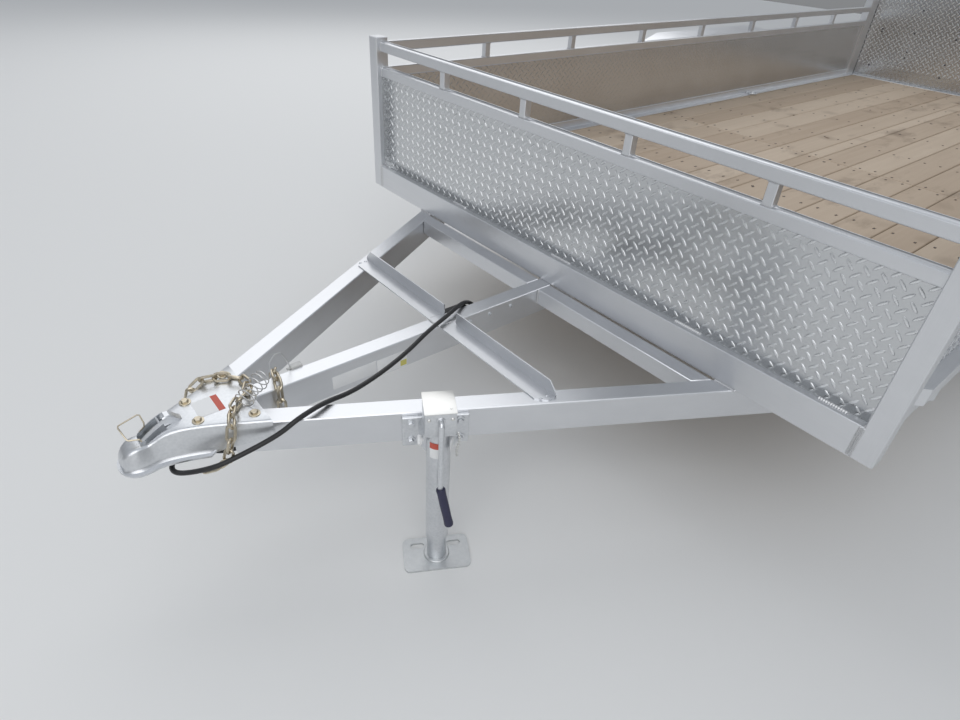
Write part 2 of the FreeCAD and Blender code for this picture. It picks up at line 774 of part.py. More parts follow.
# The tongue: two rails that meet at the coupler, a centre rail, a cross tube and a cross bar.
rail_turn = S.tongue_angle
edge_x = FRONT + S.tongue_edge_forward
rail_low = TONGUE_TOP - S.tongue_rail_height
tongue_list = []
for word, sign in SIDES:
    tube = hollow(
        f"tongue_rail_{word}", (-S.tongue_rail_back, S.tongue_rail_ahead), (0, -sign * S.tongue_rail_width),
        (-S.tongue_rail_height, 0), S.tube_wall * 1.5, "x")
    place(tube, (edge_x, sign * S.tongue_edge_side, TONGUE_TOP), (0, 0, 1), -sign * rail_turn)
    tongue_list.append(tube)
node(gather("tongue_rail_pair", tongue_list), "tongue_rails")
half_rail = S.tongue_rail_width * 0.5
node(hollow(
    "center_rail", (FRONT - S.center_rail_back, FRONT + S.center_rail_front), (-half_rail, half_rail),
    (rail_low, TONGUE_TOP), S.tube_wall * 1.5, "x"), "tongue_center_rail")


def rail_inner_y(x):
    """Where a tongue rail's inner face is at one place along the trailer."""
    slope = sine(rail_turn) / cosine(rail_turn)
    return S.tongue_edge_side - (x - edge_x) * slope - S.tongue_rail_width / cosine(rail_turn)


cross_x = (FRONT + S.cross_tube_front - S.cross_tube_side, FRONT + S.cross_tube_front)
cross_list = []
for word, sign in SIDES:
    cross_list.append(plate(
        f"cross_tube_{word}", "XY_Plane", (TONGUE_TOP - S.cross_tube_side, TONGUE_TOP), [
            (cross_x[0], sign * half_rail), (cross_x[1], sign * half_rail),
            (cross_x[1], sign * rail_inner_y(cross_x[1])), (cross_x[0], sign * rail_inner_y(cross_x[0])),
        ]))
node(gather("cross_tube_pair", cross_list), "tongue_cross_tube")
bar_x = FRONT + S.cross_bar_back
flat = block(
    "cross_bar_flat", (bar_x, bar_x + S.cross_bar_leaf), (-S.cross_bar_half, S.cross_bar_half),
    (TONGUE_TOP, TONGUE_TOP + S.angle_leaf))
upright = block(
    "cross_bar_upright", (bar_x, bar_x + S.angle_leaf), (-S.cross_bar_half, S.cross_bar_half),
    (TONGUE_TOP, TONGUE_TOP + S.cross_bar_leaf * 0.75))
notch = block(
    "cross_bar_notch", (bar_x - 1, bar_x + S.angle_leaf + 1), (half_rail * 0.4, half_rail * 1.9),
    (TONGUE_TOP + S.angle_leaf, TONGUE_TOP + S.cross_bar_leaf))
node(cut("cross_bar_bent", fuse("cross_bar_angle", [flat, upright]), notch), "tongue_cross_bar")


# The coupler: a pressed channel over the front of the tongue rails, with a domed ball socket.
coupler_back = FRONT + S.coupler_back
coupler_neck = FRONT + S.coupler_neck
ball_x = FRONT + S.ball_forward
coupler_top = TONGUE_TOP + S.coupler_sheet
skirt_back = rail_inner_y(coupler_back) + S.tongue_rail_width / cosine(rail_turn) + S.running_fit
skirt_knee = S.coupler_neck_half * 1.45
skirt_neck = S.coupler_neck_half - S.coupler_sheet
coupler_knee = coupler_neck - 60
top_plate = plate(
    "coupler_top", "XY_Plane", (TONGUE_TOP, coupler_top), [
        (coupler_back, skirt_back + S.coupler_sheet), (coupler_back, -skirt_back - S.coupler_sheet),
        (coupler_knee, -skirt_knee - S.coupler_sheet), (coupler_neck, -S.coupler_neck_half),
        (coupler_neck, S.coupler_neck_half), (coupler_knee, skirt_knee + S.coupler_sheet),
    ])
skirts = []
for word, sign in SIDES:
    skirts.append(plate(
        f"coupler_skirt_{word}", "XY_Plane", (TONGUE_TOP - S.coupler_skirt, TONGUE_TOP), [
            (coupler_back, sign * (skirt_back + S.coupler_sheet)),
            (coupler_knee, sign * (skirt_knee + S.coupler_sheet)),
            (coupler_neck, sign * S.coupler_neck_half),
            (coupler_neck, sign * skirt_neck),
            (coupler_knee, sign * skirt_knee),
            (coupler_back, sign * skirt_back),
        ]))
socket_shell = spin("socket_shell", [
    (0, 30), (S.dome_radius * 0.7, 24), (S.dome_radius, 0), (S.dome_radius, -40), (0, -40),
], "V_Axis")
place(socket_shell, (ball_x, 0, TONGUE_TOP - S.ball_drop))
neck = block(
    "coupler_neck", (coupler_neck - S.coupler_sheet, ball_x), (-S.coupler_neck_half, S.coupler_neck_half),
    (TONGUE_TOP - S.ball_drop + 6, TONGUE_TOP - S.ball_drop + 46))
socket = doc.addObject("Part::Sphere", "ball_socket")
bind(socket, "Radius", S.ball_radius + S.running_fit)
place(socket, (ball_x, 0, TONGUE_TOP - S.ball_drop))
mouth = rod(
    "ball_mouth", "z", (ball_x, 0, TONGUE_TOP - S.ball_drop - 60), S.ball_radius + S.running_fit, 60)
coupler_solid = fuse("coupler_solid", [top_plate, *skirts, socket_shell, neck])
node(cut("coupler_pressed", coupler_solid, fuse("ball_hollow", [socket, mouth])), "coupler")
latch_x = FRONT + S.coupler_neck - 20
node(fuse("latch_pieces", [
    rod("latch_hump", "z", (latch_x, 0, coupler_top), 16, 24),
    block("latch_lever", (latch_x, latch_x + 80), (-9, 9), (coupler_top + 14, coupler_top + 22)),
]), "coupler_latch")


# The swivel jack on the left tongue rail.
def beside_rail(along, out):
    """A point beside the left tongue rail, by its distance along and out from the rail's outer edge."""
    x = edge_x + along * cosine(rail_turn) + out * sine(rail_turn)
    y = S.tongue_edge_side - along * sine(rail_turn) + out * cosine(rail_turn)
    return x, y


def at_jack(item, lift):
    """Turn an object made about its own origin to line up with the left rail, on the jack's axis."""
    x, y = beside_rail(S.jack_along, S.jack_out)
    place(item, (x, y, lift), (0, 0, 1), -rail_turn)
    return item


def made_here(name, x, y, z):
    return block(name, x, y, z)


pivot_z = TONGUE_TOP - S.jack_pivot_drop
plate_y = -S.jack_out
half_plate = S.jack_plate_length * 0.5
jack_bracket = fuse("jack_bracket_welded", [
    made_here(
        "jack_plate", (-half_plate, half_plate), (plate_y, plate_y + S.jack_plate_thick),
        (-S.jack_plate_drop - S.jack_plate_height, -S.jack_plate_drop)),
    rod(
        "jack_collar", "y", (0, plate_y + S.jack_plate_thick, -S.jack_pivot_drop), S.jack_collar_radius,
        S.jack_out - S.jack_plate_thick - S.jack_tube_radius - 8.0),
])
node(at_jack(jack_bracket, TONGUE_TOP), "jack_bracket")
swivel_disc = rod(
    "swivel_disc", "y", (0, -S.jack_tube_radius - 7.7, -S.jack_pivot_drop), S.jack_collar_radius,
    S.jack_tube_radius + 7.7)
outer = rod("jack_outer", "z", (0, 0, -S.jack_tube_bottom), S.jack_tube_radius,
            S.jack_tube_bottom + S.jack_head_top - S.jack_head_height)
bore = rod("jack_bore", "z", (0, 0, -S.jack_tube_bottom - 1), S.jack_tube_radius - S.jack_tube_wall,
           S.jack_tube_bottom + 1)
tube = cut("jack_tube_bored", fuse("jack_tube_solid", [outer, swivel_disc]), bore)
node(at_jack(gather("jack_tube_set", [tube]), TONGUE_TOP), "jack_tube")
half_length = S.jack_head_length * 0.5
half_head = S.jack_head_width * 0.5
head = made_here(
    "jack_head_box", (-half_length, half_length), (-half_head, half_head),
    (S.jack_head_top - S.jack_head_height, S.jack_head_top))
node(at_jack(gather("jack_head_set", [head]), TONGUE_TOP), "jack_head")
crank = fuse("crank_bent", [
    rod("crank_hub", "y", (0, half_head, S.jack_head_top - 30), 11, 22),
    rod("crank_arm", "z", (0, half_head + 14, S.jack_head_top - 30 - S.crank_reach), S.crank_radius,
        S.crank_reach),
    rod("crank_stub", "y", (0, half_head + 5, S.jack_head_top - 24 - S.crank_reach), S.crank_radius * 0.8,
        25),
    rod("crank_grip", "y", (0, half_head + 26, S.jack_head_top - 24 - S.crank_reach), S.crank_grip_radius,
        S.crank_grip_length),
])
node(at_jack(crank, TONGUE_TOP), "jack_crank")
leg_radius = S.jack_tube_radius - S.jack_tube_wall - S.running_fit
leg = rod("jack_inner", "z", (0, 0, S.jack_foot_thick), leg_radius,
          TONGUE_TOP - S.jack_foot_thick - S.jack_pivot_drop - 60)
node(at_jack(gather("jack_leg_set", [leg]), 0), "jack_leg")
foot = made_here(
    "jack_foot_plate", (S.jack_foot_length * -0.5, S.jack_foot_length * 0.5),
    (S.jack_foot_width * -0.5, S.jack_foot_width * 0.5), (0, S.jack_foot_thick))
node(at_jack(gather("jack_foot_set", [foot]), 0), "jack_foot")


# Lamps and tie-down rings.
tail_lamps = []
side_markers = []
rings = []
for word, sign in SIDES:
    lamp_y = sign * S.lamp_inner
    tail_lamps.append(block(
        "tail_lamp", (BED_REAR - S.lamp_thick, BED_REAR), (lamp_y, lamp_y + sign * S.lamp_length),
        (TONGUE_TOP + S.tube_wall, TONGUE_TOP + S.tube_wall + S.lamp_height - 10)))
    side_markers.append(block(
        "side_marker", (FRONT - S.marker_back - S.marker_length, FRONT - S.marker_back),
        (sign * SIDE_BEAM_OUTER, sign * (SIDE_BEAM_OUTER + S.marker_thick)),
        (TONGUE_TOP + S.marker_lift, TONGUE_TOP + S.marker_lift + S.marker_height)))
node(gather("tail_lamp_pair", tail_lamps), "tail_lamps")
node(gather("side_marker_pair", side_markers), "side_markers")


# The wiring cable, held at the left rail's front end and laid back to its plug by the centre rail.
CABLE_POINTS = [
    # ahead of the front face, to the left, above the tongue rails' top
    (1042.0, 56.0, -100.0), (1080.0, 56.0, -100.0), (1120.0, 50.0, -104.0), (1158.0, 56.0, -104.0),
    (1184.0, 82.0, -97.0), (1186.0, 118.0, -86.0), (1160.0, 144.0, -72.0), (1120.0, 157.0, -56.0),
    (1068.0, 166.0, -36.0), (1008.0, 171.0, -12.0), (950.0, 168.0, 8.0), (895.0, 157.0, 11.0),
    (838.0, 140.0, 8.0), (770.0, 122.0, -8.0), (695.0, 104.0, -26.0), (620.0, 84.0, -32.0),
    (550.0, 62.0, -20.0), (494.0, 44.0, 2.0), (448.0, 33.0, 15.0), (404.0, 22.0, 17.0),
    (372.0, 2.0, 16.0), (344.0, -22.0, 12.0), (320.0, -43.0, 4.0),
]


def cord_path(points, label):
    """Straight runs joined by tangent arcs, each as large as its two runs allow."""
    edges = []
    start = points[0]
    radii = []
    for before, here, after in zip(points, points[1:], points[2:]):
        run_in = here - before
        run_out = after - here
        turn = run_in.getAngle(run_out)
        reach = 0.45 * min(run_in.Length, run_out.Length)
        radii.append(reach / math.tan(turn / 2))
        into = here - run_in.normalize() * reach
        out_of = here + run_out.normalize() * reach
        bisector = ((into - here).normalize() + (out_of - here).normalize()).normalize()
        depth = radii[-1] / math.cos(turn / 2) - radii[-1]
        edges.append(Part.LineSegment(start, into).toShape())
        edges.append(Part.Arc(into, here + bisector * depth, out_of).toShape())
        start = out_of
    edges.append(Part.LineSegment(start, points[-1]).toShape())
    print(f"{label} radii {min(radii):.0f} to {max(radii):.0f}")
    return Part.Wire(edges)


def cord_tube(points, radius, label):
    wire = cord_path(points, label)
    first = wire.Edges[0]
    ring = Part.Wire([Part.makeCircle(radius, points[0], first.tangentAt(first.FirstParameter))])
    tube = wire.makePipeShell([ring], True, False)
    print(f"{label} length {wire.Length:.0f}, volume {tube.Volume / (math.pi * radius ** 2 * wire.Length):.4f}")
    return tube


cable_points = [
    FreeCAD.Vector(FRONT.value + ahead, left, TONGUE_TOP.value + lift) for ahead, left, lift in CABLE_POINTS
]
start_x, start_y, start_z = CABLE_POINTS[0]
node(block(
    "cable_gland_block", (FRONT + start_x - S.plug_radius, FRONT + start_x),
    (start_y - S.plug_radius * 0.5, start_y + S.plug_radius * 0.5),
    (TONGUE_TOP + start_z - S.plug_radius * 0.5, rail_low)), "cable_gland")
cable = doc.addObject("Part::Feature", "wiring_cable")
cable.Shape = cord_tube(cable_points, S.cable_radius.value, "cable")
node(cable, "wiring_cable")
plug_axis = (cable_points[-1] - cable_points[-2]).normalize()
plug = doc.addObject("Part::Feature", "cable_plug")
plug.Shape = Part.makeCylinder(S.plug_radius.value, S.plug_length.value, cable_points[-1], plug_axis)
node(plug, "cable_plug")


doc.recompute()
for item in doc.Objects:
    if "Invalid" in item.State or "Error" in item.State:
        raise RuntimeError(f"{item.Label} did not recompute: {item.State}")
for label, item in nodes.items():
    shape = item.Shape
    if shape.isNull() or not shape.isValid() or not shape.Solids:
        raise RuntimeError(f"{label} has no valid solid")
    shape.exportStep(f"parts/{label}.step")
    print(label, len(shape.Solids), round(shape.Volume / 1e6, 3), [round(v) for v in (
        shape.BoundBox.XMin, shape.BoundBox.XMax, shape.BoundBox.YMin, shape.BoundBox.YMax,
        shape.BoundBox.ZMin, shape.BoundBox.ZMax)])
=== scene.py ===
"""A tandem-axle utility trailer of mill-finish aluminium, with a plank deck and a ramp gate."""

import json
import math

import bmesh
import bpy
from mathutils import Matrix, Vector

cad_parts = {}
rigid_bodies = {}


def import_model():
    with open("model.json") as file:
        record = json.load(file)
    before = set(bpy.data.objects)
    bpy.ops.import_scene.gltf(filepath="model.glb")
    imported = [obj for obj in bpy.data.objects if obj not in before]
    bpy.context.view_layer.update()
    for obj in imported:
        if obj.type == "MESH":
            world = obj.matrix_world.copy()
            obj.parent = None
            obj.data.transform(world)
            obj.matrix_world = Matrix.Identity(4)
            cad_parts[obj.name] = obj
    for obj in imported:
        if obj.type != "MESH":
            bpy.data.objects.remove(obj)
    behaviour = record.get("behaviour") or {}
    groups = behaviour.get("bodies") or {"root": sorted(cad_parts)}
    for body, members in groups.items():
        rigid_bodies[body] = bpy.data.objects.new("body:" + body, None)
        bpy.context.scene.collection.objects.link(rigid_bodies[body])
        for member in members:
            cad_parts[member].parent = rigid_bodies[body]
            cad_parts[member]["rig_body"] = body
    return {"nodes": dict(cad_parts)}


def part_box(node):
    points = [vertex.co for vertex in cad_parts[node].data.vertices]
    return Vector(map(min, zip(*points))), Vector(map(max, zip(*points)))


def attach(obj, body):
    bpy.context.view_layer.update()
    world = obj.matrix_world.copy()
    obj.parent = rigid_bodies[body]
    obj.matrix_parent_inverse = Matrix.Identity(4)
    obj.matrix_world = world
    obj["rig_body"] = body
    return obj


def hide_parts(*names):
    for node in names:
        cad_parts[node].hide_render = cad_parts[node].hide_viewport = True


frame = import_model()
nodes = frame["nodes"]
scene = bpy.context.scene
for starter in ("Cube", "Light", "Camera"):
    if starter in bpy.data.objects:
        bpy.data.objects.remove(bpy.data.objects[starter])
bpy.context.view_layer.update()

# Where the tongue begins: the front face of the front posts, and the top of the tongue rails, which
# most pieces ahead of the deck are placed from.
front_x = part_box("front_posts")[1].x
tongue_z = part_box("tongue_rails")[1].z


def spot(ahead, left, lift):
    """A place in millimetres ahead of the front face, to the left, and above the tongue rails' top."""
    return Vector((front_x + ahead / 1000, left / 1000, tongue_z + lift / 1000))


# The camera stands ahead of the trailer on its left, at head height, and looks down the tongue. Its
# place and lens were fitted to the deck's seams, the rails and the posts.
def placed(name, data):
    """An object of some data, put in the scene."""
    made = bpy.data.objects.new(name, data)
    scene.collection.objects.link(made)
    return made


camera_data = bpy.data.cameras.new("camera")
camera_data.sensor_width = 36.0
focal_pixels = 620.87
picture_width = 960
camera_data.lens = focal_pixels * camera_data.sensor_width / picture_width
camera = placed("camera", camera_data)
camera_place = Vector((front_x + 1.3321, 1.2154, tongue_z + 0.9589))
camera_forward = Vector((-0.53699, -0.60872, -0.58404))
camera_roll = math.radians(3.744)
camera_turn = camera_forward.to_track_quat("-Z", "Y").to_matrix().to_4x4()
camera.matrix_world = Matrix.Translation(camera_place) @ camera_turn @ Matrix.Rotation(camera_roll, 4, "Z")
scene.camera = camera


# The wiring cable: a limp black lead that leaves the left rail's end under the coupler, turns back
# beside it and lies over the rail and the cross bar to its plug beside the centre rail.
CABLE_ROUTE = [
    # millimetres ahead of the front face, to the left, above the tongue rails' top
    (1042, 56, -100), (1082, 56, -100), (1124, 6, -103), (1173, -1, -103), (1201, 27, -100),
    (1197, 67, -95), (1130, 122, -69), (1079, 137, -51), (1027, 143, -40), (980, 159, -15), (942, 168, 13),
    (868, 151, 13), (790, 127, -12), (690, 98, -18), (580, 65, -10), (492, 38, 11), (424, 20, 19),
    (362, -6, 18), (312, -34, 9), (268, -50, -14), (243, -52, -45),
]
cable_radius = 0.006
cable_data = bpy.data.curves.new("cable", "CURVE")
cable_data.dimensions = "3D"
cable_data.bevel_depth = 1.0
cable_data.bevel_resolution = 5
cable_data.resolution_u = 8
cable_data.use_fill_caps = True
cable_line = cable_data.splines.new("NURBS")
cable_line.points.add(len(CABLE_ROUTE) - 1)
for point, place in zip(cable_line.points, CABLE_ROUTE):
    point.co = (*spot(*place), 1.0)
    point.radius = cable_radius
cable_line.order_u = 3
cable_line.use_endpoint_u = True
cable = placed("cable", cable_data)
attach(cable, "chassis")
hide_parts("wiring_cable")


# The plug at its end, a turned black moulding. The class that gathers the faces of such worked pieces
# is here, and all the sections after this one use it.
crease = math.radians(27)


def ring(middle, one, other, radius, sides, shift=0.0):
    """Places round a middle, in the plane of two directions."""
    angles = [math.tau * (index + shift) / sides for index in range(sides)]
    return [middle + (one * math.cos(angle) + other * math.sin(angle)) * radius for angle in angles]


class Sculpture:
    """Faces gathered for one worked piece; each takes the material number set at the time."""

    def __init__(self):
        self.bm = bmesh.new()
        self.material = 0

    def face(self, corners):
        made = self.bm.faces.new(corners)
        made.material_index = self.material

    def band(self, low, high):
        """Faces between two rings of corners; a ring of one corner is a pole."""
        count = max(len(low), len(high))
        for index in range(count):
            after = (index + 1) % count
            if len(low) == 1:
                self.face((low[0], high[after], high[index]))
            elif len(high) == 1:
                self.face((low[index], low[after], high[0]))
            else:
                self.face((low[index], low[after], high[after], high[index]))

    def skin(self, rings, closed=False):
        """A solid whose skin runs from ring to ring of places, capped at its ends unless it closes."""
        made = [[self.bm.verts.new(place) for place in ring] for ring in rings]
        for low, high in zip(made, made[1:] + made[:1] if closed else made[1:]):
            self.band(low, high)
        if not closed:
            for ring in (made[0], made[-1]):
                if len(ring) > 2:
                    self.face(ring)

    def prism(self, outline, place_at, low, high):
        """A solid of one flat outline, drawn out between two levels; place_at turns numbers into places."""
        self.skin([[place_at(one, other, level) for one, other in outline] for level in (low, high)])

    def turned(self, centre, axis, profile, sides=20, closed=False):
        """A solid turned about an axis through a place, from (along, radius) corners."""
        axis = axis.normalized()
        one = axis.orthogonal().normalized()
        other = axis.cross(one)
        rings = []
        for along, radius in profile:
            middle = centre + axis * along
            rings.append([middle] if radius < 1e-6 else ring(middle, one, other, radius, sides))
        self.skin(rings, closed)

    def rod(self, places, radius, sides=8, closed=False, pole=None):
        """A rod along places; its radius is one number or one for each place."""
        one = pole
        rings = []
        last = len(places) - 1
        for index, place in enumerate(places):
            before = places[index - 1] if index or closed else place
            after = places[(index + 1) % (last + 1)] if index < last or closed else place
            forward = (after - before).normalized()
            one = one or forward.orthogonal()
            one = (one - forward * one.dot(forward)).normalized()
            reach = radius[index] if isinstance(radius, list) else radius
            rings.append(ring(place, one, forward.cross(one), reach, sides, 0.5))
        self.skin(rings, closed)

    def block(self, centre, size, edge=0.0, turn=0.0, steps=2):
        """A box with rounded edges, turned about the upright axis."""
        work = bmesh.new()
        bmesh.ops.create_cube(work, size=1.0)
        bmesh.ops.scale(work, vec=Vector(size), verts=work.verts)
        if edge:
            bmesh.ops.bevel(
                work, geom=work.edges[:], offset=edge, segments=steps, profile=0.5, affect="EDGES",
                clamp_overlap=True)
        bmesh.ops.transform(
            work, matrix=Matrix.Translation(centre) @ Matrix.Rotation(turn, 4, "Z"), verts=work.verts)
        self.take(work)

    def take(self, work):
        """Take in faces that were made apart, and free them there."""
        for face in work.faces:
            face.material_index = self.material
        mesh = bpy.data.meshes.new("work")
        work.to_mesh(mesh)
        work.free()
        self.bm.from_mesh(mesh)
        bpy.data.meshes.remove(mesh)

    def bolt(self, place, out, radius):
        """A hex head on its washer, radius to the head's flats."""
        out = out.normalized()
        self.turned(place, out, [(-0.0005, radius * 1.7), (radius * 0.26, radius * 1.7),
                                 (radius * 0.3, radius * 1.55)], 20)
        self.turned(place, out, [(radius * 0.2, radius * 1.12), (radius * 0.95, radius * 1.12),
                                 (radius * 1.1, radius * 0.92)], 6)

    def stud(self, place, out, radius, height):
        """A low round head, such as a screw's or a rivet's."""
        self.turned(place, out, [(-0.0005, radius), (height * 0.45, radius * 0.96), (height, radius * 0.55),
                                 (height, 0.0)], 12)

    def bead(self, corners, radius):
        """A weld bead with its ripples, along corners."""
        step = 0.0028
        places = []
        for start, end in zip(corners, corners[1:]):
            count = max(2, round((end - start).length / step))
            places += [start.lerp(end, index / count) for index in range(count)]
        places.append(corners[-1])
        last = len(places) - 1
        reaches = [radius * (1.0 if index % 2 else 0.8) * (0.5 if index in (0, last) else 1.0)
                   for index in range(last + 1)]
        self.rod(places, reaches, 7)

    def piece(self, name, body, slot_name, *finishes):
        """Close the work: outward normals, soft and creased edges, materials, and the body it rides on."""
        bmesh.ops.recalc_face_normals(self.bm, faces=self.bm.faces[:])
        for face in self.bm.faces:
            face.smooth = True
        for edge in self.bm.edges:
            edge.smooth = not edge.is_manifold or edge.calc_face_angle(0.0) < crease
        mesh = bpy.data.meshes.new(name)
        self.bm.to_mesh(mesh)
        self.bm.free()
        for finish in finishes:
            mesh.materials.append(finish.material)
        made = placed(name, mesh)
        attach(made, body)
        return made


PLUG_PROFILE = [
    # along the plug from the cable's end, radius
    (-0.002, 0.0075), (0.006, 0.0095), (0.018, 0.0165), (0.021, 0.019), (0.029, 0.019), (0.030, 0.0175),
    (0.040, 0.0175), (0.041, 0.019), (0.069, 0.019), (0.070, 0.018), (0.070, 0.0155), (0.058, 0.0155),
]
plug_start = spot(*CABLE_ROUTE[-1])
moulding = Sculpture()
moulding.turned(plug_start, plug_start - spot(*CABLE_ROUTE[-2]), PLUG_PROFILE, 24)
plug = moulding.piece("plug_moulded", "chassis", "black_plastic")
plug.data.shade_flat()
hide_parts("cable_plug")


# The floor and backdrop: pale and plain, with soft lamps from above and behind. The classes that build
# surface materials are here too, since the floor is the first that has one.
class Wire:
    """A node's output, with the arithmetic that adds Math nodes to its tree."""

    def __init__(self, tree, socket):
        self.tree = tree
        self.socket = socket

    def made(self, kind, settings=None, **inputs):
        """Add a node of a kind, set it up, feed its sockets and give back its first output."""
        item = self.tree.nodes.new(kind)
        for key, value in (settings or {}).items():
            setattr(item, key, value)
        for key, value in inputs.items():
            socket = item.inputs[int(key[1:])] if key[0] == "n" and key[1:].isdigit() else item.inputs[key]
            if isinstance(value, Wire):
                self.tree.links.new(value.socket, socket)
            else:
                socket.default_value = value
        live = [output for output in item.outputs if output.enabled]
        return Wire(self.tree, live[0])

    def math(self, operation, *values):
        feeds = {f"n{index}": value for index, value in enumerate(values)}
        return self.made("ShaderNodeMath", {"operation": operation}, **feeds)

    def __add__(self, other):
        return self.math("ADD", self, other)

    def __sub__(self, other):
        return self.math("SUBTRACT", self, other)

    def __mul__(self, other):
        return self.math("MULTIPLY", self, other)

    def __truediv__(self, other):
        return self.math("DIVIDE", self, other)

    def __pow__(self, other):
        return self.math("POWER", self, other)

    def __radd__(self, other):
        return self.math("ADD", other, self)

    def __rsub__(self, other):
        return self.math("SUBTRACT", other, self)

    def __rmul__(self, other):
        return self.math("MULTIPLY", other, self)

    def floor(self):
        return self.math("FLOOR", self)

    def fract(self):
        return self.math("FRACT", self)

    def clamp(self, low=0.0, high=1.0):
        return self.math("MINIMUM", self.math("MAXIMUM", self, low), high)

    def above(self, edge, width):
        """0 below an edge and 1 above it, with a soft change of a width."""
        return ((self - edge) / width + 0.5).clamp()

    def blend(self, low, high):
        """A colour between two, by this value."""
        low, high = [item if isinstance(item, Wire) else (*item, 1.0) for item in (low, high)]
        return self.made("ShaderNodeMix", {"data_type": "RGBA"}, n0=self, n6=low, n7=high).colour()

    def colour(self):
        """The colour output of the node."""
        owner = self.socket.node
        return Wire(self.tree, [output for output in owner.outputs if output.type == "RGBA"][0])


class Finish:
    """A surface material: its tree, its shader and its Object coordinates."""

    def __init__(self, name, colour, roughness, metallic=0.0):
        self.material = bpy.data.materials.new(name)
        self.material.use_nodes = True
        self.tree = self.material.node_tree
        self.shader = self.tree.nodes["Principled BSDF"]
        self.shader.inputs["Base Color"].default_value = (*colour, 1.0)
        self.shader.inputs["Roughness"].default_value = roughness
        self.shader.inputs["Metallic"].default_value = metallic
        coordinates = self.tree.nodes.new("ShaderNodeTexCoord")
        self.place = Wire(self.tree, coordinates.outputs["Object"])
        split = self.tree.nodes.new("ShaderNodeSeparateXYZ")
        self.tree.links.new(coordinates.outputs["Object"], split.inputs[0])
        self.x, self.y, self.z = [Wire(self.tree, output) for output in split.outputs]

    def point(self, x, y, z):
        """A vector from three values."""
        return self.place.made("ShaderNodeCombineXYZ", n0=x, n1=y, n2=z)

    def stretched(self, *factors):
        """The Object coordinates, each times a factor."""
        return self.point(*[wire * factor for wire, factor in zip((self.x, self.y, self.z), factors)])

    def noise(self, at, scale, detail=3.0, rough=0.5, distortion=0.0):
        return self.place.made(
            "ShaderNodeTexNoise", {"noise_dimensions": "3D"}, Vector=at, Scale=scale, Detail=detail,
            Roughness=rough, Distortion=distortion)

    def feed(self, socket, value):
        self.tree.links.new(value.socket, self.shader.inputs[socket])

    def bump(self, height, strength, distance):
        raised = self.place.made("ShaderNodeBump", Height=height, Strength=strength, Distance=distance)
        self.feed("Normal", raised)


def mottled(name, low, high, roughness, metallic, scale, spread=0.16):
    """A finish whose colour drifts between two and whose roughness drifts with it."""
    middle = [(one + two) / 2 for one, two in zip(low, high)]
    finish = Finish(name, middle, roughness, metallic)
    cloud = finish.noise(finish.place, scale, 4.0, 0.6)
    finish.feed("Base Color", cloud.blend(low, high))
    finish.feed("Roughness", roughness - spread / 2 + cloud * spread)
    return finish


def body_of(name):
    return nodes[name]["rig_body"]


merge_reach = 1e-5
flat_angle = math.radians(0.6)


def softened(name, finish, edge, slot_name, steps=1, limit=28):
    """A merged copy of a CAD node with small rounded edges, which takes the node's place."""
    work = Sculpture()
    work.bm.from_mesh(nodes[name].data)
    bmesh.ops.remove_doubles(work.bm, verts=work.bm.verts, dist=merge_reach)
    bmesh.ops.dissolve_limit(
        work.bm, angle_limit=flat_angle, verts=work.bm.verts[:], edges=work.bm.edges[:])
    if edge:
        sharp = [item for item in work.bm.edges if item.is_manifold
                 and item.calc_face_angle(0.0) > math.radians(limit)]
        bmesh.ops.bevel(
            work.bm, geom=sharp, offset=edge, segments=steps, profile=0.5, affect="EDGES",
            clamp_overlap=True)
    for face in work.bm.faces:
        face.material_index = 0
    made = work.piece(f"{name}_finished", body_of(name), slot_name, finish)
    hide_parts(name)
    return made


floor_colour = (0.80, 0.80, 0.79)
floor = Finish("studio_floor", floor_colour, 0.9)
floor_half = 14.0
floor_mesh = bpy.data.meshes.new("studio_floor")
floor_corners = [(-1, -1), (1, -1), (1, 1), (-1, 1)]
floor_mesh.from_pydata([(floor_half * x, floor_half * y, 0.0) for x, y in floor_corners], [], [(0, 1, 2, 3)])
floor_mesh.materials.append(floor.material)
placed("studio_floor", floor_mesh)

world = bpy.data.worlds.new("studio")
scene.world = world
world.use_nodes = True
sky = world.node_tree.nodes["Background"]
sky_place = world.node_tree.nodes.new("ShaderNodeTexCoord")
sky_split = world.node_tree.nodes.new("ShaderNodeSeparateXYZ")
world.node_tree.links.new(sky_place.outputs["Generated"], sky_split.inputs[0])
sky_ramp = world.node_tree.nodes.new("ShaderNodeValToRGB")
world.node_tree.links.new(sky_split.outputs["Z"], sky_ramp.inputs[0])
sky_ramp.color_ramp.elements[0].position = 0.0
sky_ramp.color_ramp.elements[0].color = (0.34, 0.35, 0.36, 1.0)
sky_ramp.color_ramp.elements[1].position = 0.8
sky_ramp.color_ramp.elements[1].color = (0.80, 0.84, 0.90, 1.0)
world.node_tree.links.new(sky_ramp.outputs[0], sky.inputs["Color"])
sky.inputs["Strength"].default_value = 0.68

LAMPS = [
    # name, place, aim, size, power
    ("key_lamp", (-1.2, -4.8, 5.6), (0.8, 0.0, 0.4), 8.0, 190.0),
    ("fill_lamp", (5.5, 4.0, 4.2), (1.5, 0.5, 0.0), 6.0, 150.0),
]
for name, place, aim, size, power in LAMPS:
    lamp_data = bpy.data.lights.new(name, "AREA")
    lamp_data.size = size
    lamp_data.energy = power
    lamp = placed(name, lamp_data)
    lamp.location = place
    lamp.rotation_euler = (Vector(aim) - Vector(place)).to_track_quat("-Z", "Y").to_euler()
scene.view_settings.view_transform = "Standard"


